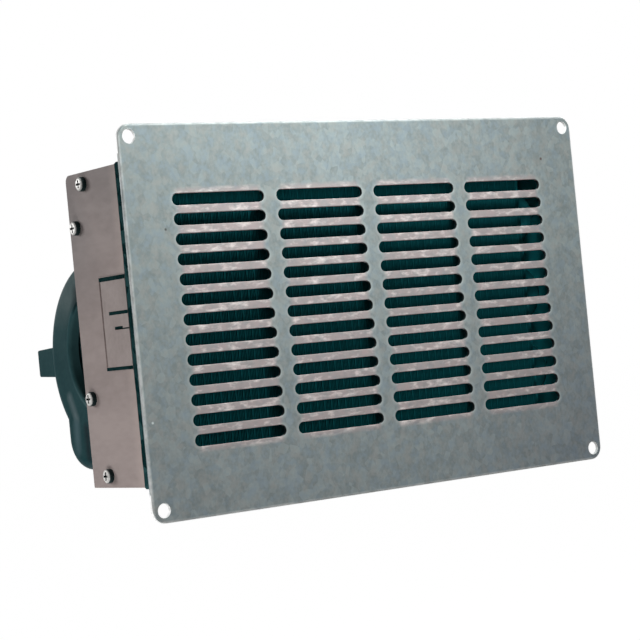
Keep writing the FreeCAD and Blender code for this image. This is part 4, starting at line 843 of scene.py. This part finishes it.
class Slot(Enum):
    """The finishes, most of them by the record's slots."""

    GRAINED_SHEET = PlateFinish(
        (0.229, 0.258, 0.258), (0.315, 0.349, 0.350), metallic=0.1, gloss=(0.46, 0.6),
        coarse=130.0, fine=520.0, grain=900.0, depth=0.00002, stretch=(1.0, 1.0, 0.85), specular=0.2,
        worn=(0.55, 0.57, 0.56), wear=0.75, wear_radius=0.0014,
    )
    CASING_SHEET = CasingFinish(
        (0.296, 0.246, 0.234), (0.350, 0.291, 0.276), gloss=(0.55, 0.68), coarse=35.0,
        fine=300.0, grain=1200.0, depth=0.00001, stretch=(1.0, 0.35, 1.0), specular=0.06,
        worn=(0.5, 0.47, 0.45), wear=0.5, wear_radius=0.0007,
    )
    ZINC = Finish(
        (0.46, 0.45, 0.43), (0.62, 0.61, 0.59), metallic=0.2, gloss=(0.28, 0.45), coarse=220.0,
        fine=900.0, grain=2500.0, depth=0.00001, specular=0.25, worn=(0.85, 0.85, 0.83), wear=0.4,
        wear_radius=0.0004,
    )
    SCREW_HEAD = HeadFinish(
        (0.50, 0.49, 0.47), (0.66, 0.65, 0.63), metallic=0.1, gloss=(0.3, 0.45), coarse=220.0,
        fine=900.0, grain=2500.0, depth=0.00001, specular=0.1,
    )
    SEAL_FOAM = FoamFinish(
        (0.0005, 0.010, 0.011), (0.002, 0.022, 0.024), gloss=(0.8, 0.95), coarse=160.0,
        fine=700.0, depth=0.00018, specular=0.01,
    )
    LABEL_FOIL = Finish(
        (0.288, 0.242, 0.230), (0.332, 0.280, 0.266), gloss=(0.5, 0.62), coarse=70.0,
        fine=400.0, depth=0.000006, specular=0.06,
    )
    CORE_PAINT = CoreFinish(
        (0.002, 0.055, 0.062), (0.005, 0.075, 0.084), gloss=(0.7, 0.85), coarse=120.0,
        fine=600.0, grain=2000.0, depth=0.00002, specular=0.03,
    )
    COPPER = Finish(
        (0.36, 0.15, 0.075), (0.58, 0.28, 0.16), metallic=0.95, gloss=(0.28, 0.5), coarse=60.0,
        fine=380.0, grain=1800.0, depth=0.00001,
    )
    BRASS = Finish(
        (0.46, 0.32, 0.11), (0.60, 0.44, 0.18), metallic=0.95, gloss=(0.25, 0.42), coarse=80.0,
        grain=2600.0, depth=0.000008, stretch=(1.0, 0.15, 1.0),
    )
    GASKET_RUBBER = Finish(
        (0.012, 0.013, 0.013), (0.024, 0.025, 0.025), gloss=(0.65, 0.8), coarse=120.0,
        fine=700.0, grain=2200.0, specular=0.25,
    )
    HOUSING_PLASTIC = HousingFinish(
        (0.004, 0.034, 0.039), (0.008, 0.046, 0.051), gloss=(0.36, 0.48), coarse=50.0,
        fine=420.0, grain=2400.0, depth=0.000025, specular=0.02, worn=(0.03, 0.07, 0.075), wear=0.35,
        dust=0.05,
    )
    WHEEL_PLASTIC = Finish(
        (0.004, 0.040, 0.045), (0.010, 0.056, 0.062), gloss=(0.4, 0.55), fine=600.0,
        grain=2400.0, depth=0.00002, specular=0.1, dust=0.15,
    )
    BLACK_STEEL = Finish(
        (0.018, 0.018, 0.018), (0.04, 0.04, 0.04), metallic=0.7, gloss=(0.4, 0.55),
        coarse=300.0, fine=1200.0,
    )
    SHAFT_STEEL = Finish(
        (0.42, 0.42, 0.42), (0.55, 0.55, 0.55), metallic=1.0, gloss=(0.2, 0.32), coarse=150.0,
        fine=900.0, grain=2500.0, depth=0.000006, stretch=(4.0, 1.0, 1.0),
    )
    CAN_PAINT = Finish(
        (0.018, 0.020, 0.022), (0.032, 0.035, 0.037), gloss=(0.3, 0.42), coarse=60.0,
        grain=1600.0, depth=0.00002, worn=(0.30, 0.30, 0.30), wear=0.5, dust=0.2,
    )
    CAP_ALLOY = CellFinish(
        (0.36, 0.36, 0.36), (0.48, 0.48, 0.47), metallic=0.8, gloss=(0.45, 0.62),
        worn=(0.66, 0.66, 0.65), wear=0.4, cell=1400.0,
    )
    BRONZE = Finish(
        (0.28, 0.16, 0.07), (0.40, 0.24, 0.11), metallic=0.85, gloss=(0.4, 0.55), coarse=200.0,
        fine=1200.0,
    )
    FERRITE = Finish(
        (0.022, 0.022, 0.024), (0.04, 0.04, 0.042), metallic=0.1, gloss=(0.6, 0.75), coarse=150.0,
        fine=900.0,
    )
    LAMINATION = Finish(
        (0.14, 0.14, 0.145), (0.24, 0.24, 0.245), metallic=0.8, gloss=(0.4, 0.55), fine=700.0,
        grain=1800.0, depth=0.00004, stretch=(8.0, 0.2, 0.2),
    )
    ENAMEL_COPPER = Finish(
        (0.22, 0.06, 0.025), (0.36, 0.12, 0.05), metallic=0.6, gloss=(0.25, 0.4),
        coarse=150.0, fine=1200.0, grain=900.0, depth=0.0003, stretch=(0.2, 1.0, 1.0),
    )
    CARD_BOARD = Finish(
        (0.12, 0.05, 0.022), (0.18, 0.085, 0.04), gloss=(0.5, 0.65), coarse=140.0, fine=900.0,
    )
    CARBON = Finish(
        (0.012, 0.012, 0.012), (0.03, 0.03, 0.03), metallic=0.2, coarse=260.0, fine=1400.0,
    )
    SADDLE_PLASTIC = Finish(
        (0.022, 0.024, 0.025), (0.036, 0.038, 0.04), gloss=(0.5, 0.65), coarse=80.0,
        fine=600.0, grain=2000.0, depth=0.00004, specular=0.3, worn=(0.09, 0.09, 0.09), wear=0.3, dust=0.2,
    )
    BLOCK_PLASTIC = Finish(
        (0.014, 0.014, 0.015), (0.024, 0.024, 0.026), gloss=(0.4, 0.52), coarse=100.0,
        fine=700.0, grain=2400.0, depth=0.00002, specular=0.35, worn=(0.08, 0.08, 0.08), wear=0.3, dust=0.15,
    )
    RED_LEAD = Finish(
        (0.30, 0.012, 0.010), (0.42, 0.022, 0.016), gloss=(0.4, 0.52), coarse=120.0, fine=800.0,
    )
    BLACK_LEAD = Finish(
        (0.012, 0.012, 0.012), (0.024, 0.024, 0.024), gloss=(0.4, 0.52), coarse=120.0,
        fine=800.0,
    )
    LABEL_INK = Finish(
        (0.001, 0.012, 0.013), (0.004, 0.026, 0.027), gloss=(0.7, 0.85), coarse=240.0,
        fine=900.0, specular=0.01,
    )
    FADED_INK = Finish(
        (0.12, 0.09, 0.085), (0.20, 0.16, 0.15), gloss=(0.7, 0.85), coarse=240.0, fine=900.0,
        specular=0.02,
    )

    def material(self) -> bpy.types.Material:
        """Gives the slot's material, built once."""
        title = self.name.lower() + "_finish"
        return bpy.data.materials.get(title) or self.value.material(title)


class Mesh:
    """A mesh in the making, in metres and in the heater's frame."""

    smooth_below: ClassVar[float] = math.radians(40.0)

    def __init__(self, name: str) -> None:
        """Starts an empty mesh with the piece's name."""
        self.name = name
        self.shape = bmesh.new()

    def ring_loft(self, rings: list[list[Vector]], closed: bool) -> None:
        """Joins rings of points into a skin.

        Args:
            rings: rings with the same number of points each.
            closed: whether the last ring joins the first.
        """
        made = [[self.shape.verts.new(point) for point in ring] for ring in rings]
        pairs = list(zip(made, made[1:]))
        if closed:
            pairs.append((made[-1], made[0]))
        for first, second in pairs:
            for k in range(len(first)):
                n = (k + 1) % len(first)
                self.shape.faces.new((first[k], first[n], second[n], second[k]))
        if not closed:
            self.shape.faces.new(list(reversed(made[0])))
            self.shape.faces.new(made[-1])

    def turned(self, base: Vector, axis: Vector, profile: list[Pair]) -> None:
        """Adds a turned solid.

        Args:
            base: a point on the axis.
            axis: the way that the axis points, of unit length.
            profile: the radius and the height of each ring above the base.
        """
        across = axis.orthogonal().normalized()
        up = axis.cross(across)
        rings = [circle(base + axis * rise, across, up, radius) for radius, rise in profile]
        self.ring_loft(rings, closed=False)

    def slab(self, low: Vector, high: Vector, bevel: float) -> None:
        """Adds a block with rounded edges.

        Args:
            low: the lowest corner.
            high: the highest corner.
            bevel: the edges' rounding, or 0 for sharp edges.
        """
        place = Matrix.Translation((low + high) / 2.0) @ Matrix.Diagonal((*(high - low), 1.0))
        corners = bmesh.ops.create_cube(self.shape, size=1.0, matrix=place)["verts"]
        if not bevel:
            return
        edges = list({edge for corner in corners for edge in corner.link_edges})
        bmesh.ops.bevel(self.shape, geom=edges, offset=bevel, segments=2, affect="EDGES", profile=0.5)

    def finish(self, finish: Slot, slot: str | None = None) -> Piece:
        """Makes the piece, dresses it and lets it ride on the heater.

        Args:
            finish: the piece's finish.
            slot: the record's slot; not used.

        Returns:
            The piece.
        """
        bmesh.ops.recalc_face_normals(self.shape, faces=self.shape.faces)
        data = bpy.data.meshes.new(self.name)
        self.shape.to_mesh(data)
        self.shape.free()
        data.shade_smooth()
        data.set_sharp_from_angle(angle=self.smooth_below)
        data.materials.append(finish.material())
        piece = bpy.data.objects.new(self.name, data)
        bpy.context.scene.collection.objects.link(piece)
        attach(piece, BODY)
        return piece


@dataclass
class Assembly:
    """A sub-assembly of the heater: the solids that it dresses and the pieces that it adds."""

    nodes: tuple[str, ...] = ()

    def dress(self) -> list[Piece]:
        """Gives each solid the finish of its slot.

        Returns:
            The solids.
        """
        slots = {part["node"]: part["material_slot"] for part in frame["record"]["subparts"]}
        solids = [frame["nodes"][name] for name in self.nodes]
        for name, solid in zip(self.nodes, solids):
            solid.data.materials.clear()
            solid.data.materials.append(Slot[slots[name].upper()].material())
        return solids

    def build(self) -> list[Piece]:
        """Builds the fine pieces; a plain assembly has none."""
        return []


@dataclass
class Casing(Assembly):
    """Faceplate, sheet casing, seal strip and rating plate."""

    nodes: tuple[str, ...] = (
        "faceplate", "faceplate_studs", "stud_nuts", "left_side_panel", "right_side_panel", "top_channel",
        "bottom_channel", "rear_panel", "rear_rivets", "side_screws", "seal_strip", "rating_plate",
    )
    rivet_head: float = 0.0032
    tip_radius: float = 0.0011
    tip_rise: float = 0.00025
    tip_profile: tuple[Pair, ...] = (
        (1.15, -0.8), (1.15, 0.4), (1.0, 0.9), (0.8, 0.7), (0.75, -0.1), (0.6, -0.1), (0.55, 0.5), (0.1, 0.7),
    )
    seal_thick: float = 0.001
    seal_fill: Pair = (0.90, 0.06)
    seal_profile: tuple[float, ...] = (0.0, 0.75, 0.95, 1.0, 0.95, 0.7, 0.0)
    seal_step: float = 0.003
    seal_ragged: float = 0.0004
    rag_waves: float = 90.0
    swell_waves: float = 40.0
    swell_shift: Triple = (3.0, 1.0, 2.0)
    seal_start: float = 0.0001
    seal_shoulder: float = 0.0008
    seal_slope: float = 0.001
    seal_lip: float = 0.0002
    line: float = 0.0024
    thin_line: float = 0.0014
    foot_line: float = 0.00192
    line_rise: float = 0.00008
    line_round: float = 0.000048
    line_edge: float = 0.0003
    divider_z: float = 0.0070
    divider_short: float = 0.0080
    bar_z: float = -0.0014
    bar_short: float = 0.0130
    bar_long: float = 0.0085
    bar_tall: float = 0.0018
    bar_line: float = 0.00072

    def dress(self) -> list[Piece]:
        """Gives each solid its finish, and the side screws their bright tops with painted shade on the
        flanks.

        Returns:
            The solids.
        """
        solids = super().dress()
        screws = frame["nodes"]["side_screws"].data.materials
        screws.clear()
        screws.append(Slot.SCREW_HEAD.material())
        return solids

    def build(self) -> list[Piece]:
        """Builds the foam strip, the rating plate's printed lines and the rivets' tips."""
        return [self.seal(), *self.label_lines(), self.rivet_tips()]

    def rivet_tips(self) -> Piece:
        """Builds the broken pin that shows in the middle of each blind rivet.

        Returns:
            The piece.
        """
        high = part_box("rear_rivets")[1]
        wide = high.x - self.rivet_head
        tall = high.z - self.rivet_head
        back = Vector((0, 1, 0))
        seats = [(Vector((i * wide, high.y, s * tall)), back) for i in (-1, 0, 1) for s in (-1, 1)]
        low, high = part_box("core_rivets")
        for x in (low.x + self.rivet_head, high.x - self.rivet_head):
            for y in (low.y + self.rivet_head, high.y - self.rivet_head):
                seats.append((Vector((x, y, high.z)), Vector((0, 0, 1))))
                seats.append((Vector((x, y, low.z)), Vector((0, 0, -1))))
        mesh = Mesh("rivet_pin_tips")
        profile = [(self.tip_radius * radius, self.tip_rise * rise) for radius, rise in self.tip_profile]
        for seat, axis in seats:
            mesh.turned(seat, axis, profile)
        return mesh.finish(Slot.SHAFT_STEEL, "shaft_steel")

    def outline(self) -> list[tuple[Vector, Vector]]:
        """Walks round the casing.

        Returns:
            Points on the casing's skin, each with the way out.
        """
        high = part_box("seal_strip")[1]
        w = high.x - self.seal_thick
        h = high.z - self.seal_thick
        corners = [Vector((w, 0, h)), Vector((-w, 0, h)), Vector((-w, 0, -h)), Vector((w, 0, -h))]
        found = []
        for start, end in zip(corners, corners[1:] + corners[:1]):
            run = end - start
            out = Vector((-run.z, 0, run.x)).normalized()
            if out.dot(start) < 0:
                out = -out
            count = int(run.length / self.seal_step)
            found += [(start.lerp(end, i / count), out) for i in range(count + 1)]
        return found

    def seal(self) -> Piece:
        """Builds the foam strip, a little uneven along its rear edge.

        Returns:
            The piece.
        """
        mesh = Mesh("seal_foam_strip")
        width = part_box("seal_strip")[1].y - self.seal_ragged
        fill, swell = self.seal_fill
        rings = []
        for point, out in self.outline():
            rear = width + self.seal_ragged * noise.noise(point * self.rag_waves)
            wave = noise.noise(point * self.swell_waves + Vector(self.swell_shift))
            thick = self.seal_thick * (fill + swell * wave)
            places = (
                self.seal_start, self.seal_start, self.seal_shoulder, rear / 2.0,
                rear - self.seal_slope, rear - self.seal_lip, rear,
            )
            skin = [point + out * thick * share for share in self.seal_profile]
            rings.append([spot + Vector((0, y, 0)) for spot, y in zip(skin, places)])
        mesh.ring_loft(rings, closed=True)
        piece = mesh.finish(Slot.SEAL_FOAM, "seal_foam")
        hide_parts("seal_strip")
        return piece

    def label_lines(self) -> list[Piece]:
        """Prints a plain frame, a divider and a bar on the blank rating plate.

        Returns:
            The faded rear line, and the other lines in one piece.
        """
        low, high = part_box("rating_plate")
        rear = high.y - self.line_edge
        top = high.z - self.line_edge
        foot = low.z + self.line_edge
        bar = rear - self.bar_short
        faded = self.strips("rating_plate_rear_line", Slot.FADED_INK, (
            (rear - self.thin_line, rear, low.z + self.line, high.z - self.line),
        ))
        dark = self.strips("rating_plate_frame", Slot.LABEL_INK, (
            (low.y, rear, top - self.line, top),
            (low.y, rear, foot, foot + self.foot_line),
            (low.y, rear - self.divider_short, self.divider_z, self.divider_z + self.foot_line),
            (low.y, bar, self.bar_z, self.bar_z + self.bar_line),
            (bar - self.bar_long, bar, self.bar_z, self.bar_z + self.bar_tall),
        ))
        return [faded, dark]

    def strips(self, name: str, finish: Slot, places: tuple[Band, ...]) -> Piece:
        """Prints flat strips on the rating plate.

        Args:
            name: the piece's name.
            finish: the ink.
            places: front, rear, low and high edge of each strip.

        Returns:
            The piece.
        """
        mesh = Mesh(name)
        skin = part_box("rating_plate")[0].x
        for y0, y1, z0, z1 in places:
            start = Vector((skin - self.line_rise, y0, z0))
            mesh.slab(start, Vector((skin + self.line_rise, y1, z1)), self.line_round)
        return mesh.finish(finish)


@dataclass
class Core(Assembly):
    """Hot-water core with its fins, tubes and pipes."""

    nodes: tuple[str, ...] = (
        "core_fins", "core_tubes", "core_return_bends", "left_tube_sheet", "right_tube_sheet", "core_rivets",
        "inlet_pipe", "outlet_pipe", "pipe_grommets", "hose_spigots",
    )
    fin_pitch: float = 0.005
    fin_thick: float = 0.0005
    thin_fins: int = 4
    thin_fin: float = 0.0003
    set_back: float = 0.0004

    def build(self) -> list[Piece]:
        """Builds the thin fins between the thick ones.

        Returns:
            The piece that holds them.
        """
        low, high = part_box("core_fins")
        mesh = Mesh("core_thin_fins")
        inset = Vector((0.0, self.set_back, self.set_back))
        gaps = round((high.x - low.x - self.fin_thick) / self.fin_pitch)
        for gap in range(gaps):
            for k in range(1, self.thin_fins + 1):
                x = low.x + self.fin_thick / 2.0 + (gap + k / (self.thin_fins + 1)) * self.fin_pitch
                start = Vector((x - self.thin_fin / 2.0, low.y, low.z)) + inset
                end = Vector((x + self.thin_fin / 2.0, high.y, high.z)) - inset
                mesh.slab(start, end, 0.0)
        return [mesh.finish(Slot.CORE_PAINT, "core_paint")]


@dataclass
class Blower(Assembly):
    """Both scrolls with their covers, gaskets, screws and wheels."""

    nodes: tuple[str, ...] = (
        "left_scroll", "right_scroll", "left_inlet_cover", "right_inlet_cover", "cover_screws",
        "outlet_gaskets", "flange_screws", "left_wheel", "right_wheel", "wheel_set_screws",
    )


@dataclass
class Motor(Assembly):
    """Motor with its saddle and strap."""

    nodes: tuple[str, ...] = (
        "motor_shaft", "motor_can", "left_motor_cap", "right_motor_cap", "motor_bushes", "field_magnets",
        "armature_core", "armature_windings", "commutator", "brush_card", "motor_brushes", "motor_saddle",
        "motor_strap", "strap_screws", "saddle_screws",
    )


@dataclass
class Wiring(Assembly):
    """Terminal block and motor leads, with a sleeve and a grommet on each lead."""

    nodes: tuple[str, ...] = (
        "terminal_block", "terminal_screws", "block_screws", "positive_lead", "negative_lead",
    )
    leads: tuple[str, ...] = ("positive_lead", "negative_lead")
    tail: float = 0.0025
    rise: float = 0.004
    sleeve_length: float = 0.010
    sleeve_wall: float = 0.0006
    sleeve_rings: int = 10
    grommet_wall: float = 0.0018
    grommet_height: float = 0.0020
    grommet_sink: float = 0.0006
    grommet_round: tuple[Pair, ...] = ((0.0, 0.4), (0.2, 0.75), (0.6, 1.0))
    overlap: float = 0.0001

    def build(self) -> list[Piece]:
        """Builds the sleeves under the block and the grommets on the motor can.

        Returns:
            The two pieces.
        """
        sleeves = Mesh("lead_sleeves")
        grommets = Mesh("lead_grommets")
        for name in self.leads:
            low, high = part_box(name)
            radius = (high.x - low.x) / 2.0
            sleeves.ring_loft(self.sleeve(low, high, radius), closed=False)
            foot = Vector((middle(name).x, high.y - radius, low.z))
            grommets.turned(foot, Vector((0, 0, 1)), self.grommet(radius - self.overlap))
        return [
            sleeves.finish(Slot.BLOCK_PLASTIC, "block_plastic"),
            grommets.finish(Slot.GASKET_RUBBER, "gasket_rubber"),
        ]

    def sleeve(self, low: Vector, high: Vector, radius: float) -> list[list[Vector]]:
        """Walks down a lead from the terminal block, round its first bend.

        Args:
            low: the lowest corner of the lead's box.
            high: its highest corner.
            radius: the lead's radius.

        Returns:
            The rings of a shrunk sleeve, with its ends drawn in to the lead.
        """
        bend = (high.z - low.z - self.rise - self.tail) / 2.0
        across = Vector((1, 0, 0))
        start = Vector(((low.x + high.x) / 2.0, low.y + radius, high.z))
        rings = []
        for k in range(self.sleeve_rings + 1):
            run = self.sleeve_length * k / self.sleeve_rings
            angle = max(run - self.tail, 0.0) / bend
            down = min(run, self.tail) + bend * math.sin(angle)
            centre = start + Vector((0, bend * (1.0 - math.cos(angle)), -down))
            up = Vector((0, math.cos(angle), math.sin(angle)))
            inner = circle(centre, across, up, radius - self.overlap)
            if k == 0:
                rings.append(inner)
            rings.append(circle(centre, across, up, radius + self.sleeve_wall))
            if k == self.sleeve_rings:
                rings.append(inner)
        return rings

    def grommet(self, bore: float) -> list[Pair]:
        """Gives the grommet's rings.

        Args:
            bore: the radius of its hole.

        Returns:
            The radius and the height of each ring.
        """
        wall, height, sink = self.grommet_wall, self.grommet_height, -self.grommet_sink
        wide = bore + wall
        rounded = [(wide - inset * wall, rise * height) for inset, rise in self.grommet_round]
        return [(bore, sink), (wide, sink), *rounded, (bore, height)]


@dataclass(frozen=True)
class Lamp:
    """A soft square lamp that the camera doesn't see, with its power in watts."""

    name: str
    place: Triple
    target: Triple
    size: float
    power: float
    tint: Colour = WHITE

    def hang(self) -> None:
        """Hangs the lamp and points it at its target."""
        data = bpy.data.lights.new(self.name, "AREA")
        data.size = self.size
        data.energy = self.power
        data.color = self.tint
        lamp = bpy.data.objects.new(self.name, data)
        lamp.location = self.place
        way = Vector(self.target) - Vector(self.place)
        lamp.rotation_euler = way.to_track_quat("-Z", "Y").to_euler()
        lamp.visible_camera = False
        bpy.context.scene.collection.objects.link(lamp)


@dataclass
class Studio:
    """Camera (angles in degrees, focal length in pixels), lamps, floor and backdrop."""

    eye: Triple = (-0.72362, -0.93885, -0.02245)
    azimuth: float = 35.99
    elevation: float = 0.80
    roll: float = -5.532
    focal: float = 2032.65
    picture: float = 640.0
    sensor: float = 36.0
    clip: Pair = (0.01, 50.0)
    ambient: float = 0.045
    floor_z: float = -0.62
    floor_size: float = 20.0
    floor_grey: Colour = (0.85, 0.85, 0.85)
    floor_glow: float = 0.96
    lamps: tuple[Lamp, ...] = (
        Lamp("key", (-0.035, -0.26, 0.28), (-0.03, 0.0, 0.06), 0.12, 1.62, (0.92, 1.0, 1.0)),
        Lamp("front_left", (-0.42, -0.62, 0.05), (0.05, 0.0, 0.0), 0.25, 0.36),
        Lamp("rear_left", (-0.75, 0.88, 0.24), (-0.15, 0.06, 0.0), 0.4, 6.8),
        Lamp("under_left", (-0.36, 0.01, -0.24), (-0.155, 0.04, -0.05), 0.12, 0.38),
        Lamp("right", (0.90, 0.35, 0.45), (0.15, 0.06, 0.0), 0.5, 3.5),
    )

    def camera(self) -> None:
        """Sets the camera at the photograph's viewing angle."""
        data = bpy.data.cameras.new("camera")
        data.sensor_width = self.sensor
        data.lens = self.focal / self.picture * self.sensor
        data.clip_start, data.clip_end = self.clip
        camera = bpy.data.objects.new("camera", data)
        bpy.context.scene.collection.objects.link(camera)
        place = Matrix.Translation(self.eye)
        for degrees, axis in ((-self.azimuth, "Z"), (90.0 + self.elevation, "X"), (self.roll, "Z")):
            place = place @ Matrix.Rotation(math.radians(degrees), 4, axis)
        camera.matrix_world = place
        bpy.context.scene.camera = camera

    def shown(self, sheet: NodeSheet) -> Socket:
        """Tells rays that show the background from rays that carry light.

        Args:
            sheet: the nodes of the world or the floor.

        Returns:
            A socket that is 1 for the rays that show it.
        """
        path = sheet.add("ShaderNodeLightPath").outputs
        seen = sheet.math("MAXIMUM", path["Is Camera Ray"], path["Is Glossy Ray"])
        return sheet.math("MAXIMUM", seen, path["Is Transmission Ray"])

    def world(self) -> None:
        """Sets a white surround that lights the heater at a plain level."""
        world = bpy.data.worlds.new("surround")
        bpy.context.scene.world = world
        world.use_nodes = True
        sheet = NodeSheet(world.node_tree)
        strength = sheet.ramp(self.shown(sheet), 0.0, 1.0, self.ambient, 1.0)
        back = sheet.add("ShaderNodeBackground", {"Color": (*WHITE, 1.0), "Strength": strength})
        sheet.add("ShaderNodeOutputWorld", {"Surface": back.outputs[0]})

    def floor(self) -> None:
        """Lays a white floor well below the heater, seen only from above."""
        mesh = bmesh.new()
        bmesh.ops.create_grid(mesh, x_segments=1, y_segments=1, size=self.floor_size)
        data = bpy.data.meshes.new("floor")
        mesh.to_mesh(data)
        mesh.free()
        data.materials.append(self.floor_material())
        floor = bpy.data.objects.new("floor", data)
        floor.location = (0.0, 0.0, self.floor_z)
        bpy.context.scene.collection.objects.link(floor)

    def floor_material(self) -> bpy.types.Material:
        """Makes a floor that looks white from above and clear from below.

        Returns:
            The material.
        """
        made = bpy.data.materials.new("floor_white")
        made.use_nodes = True
        sheet = NodeSheet(made.node_tree)
        matt = sheet.add("ShaderNodeBsdfDiffuse", {"Color": (*self.floor_grey, 1.0)}).outputs[0]
        shine = {"Color": (*WHITE, 1.0), "Strength": self.floor_glow}
        glow = sheet.add("ShaderNodeEmission", shine).outputs[0]
        lit = sheet.add("ShaderNodeAddShader", {0: matt, 1: glow}).outputs[0]
        face = sheet.add("ShaderNodeMixShader", {0: self.shown(sheet), 1: matt, 2: lit}).outputs[0]
        clear = sheet.add("ShaderNodeBsdfTransparent").outputs[0]
        under = sheet.add("ShaderNodeNewGeometry").outputs["Backfacing"]
        both = sheet.add("ShaderNodeMixShader", {0: under, 1: face, 2: clear}).outputs[0]
        sheet.add("ShaderNodeOutputMaterial", {"Surface": both})
        return made

    def build(self) -> None:
        """Sets up the whole studio."""
        bpy.context.scene.view_settings.view_transform = "Standard"
        self.camera()
        self.world()
        self.floor()
        for lamp in self.lamps:
            lamp.hang()


def main() -> None:
    """Builds the studio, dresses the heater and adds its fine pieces."""
    logging.basicConfig(level=logging.INFO, format="%(name)s: %(message)s")
    Studio().build()
    for assembly in (Casing(), Core(), Blower(), Motor(), Wiring()):
        for piece in (*assembly.dress(), *assembly.build()):
            LOG.info("%s: %s", type(assembly).__name__, piece.name)


if __name__ == "__main__":
    main()
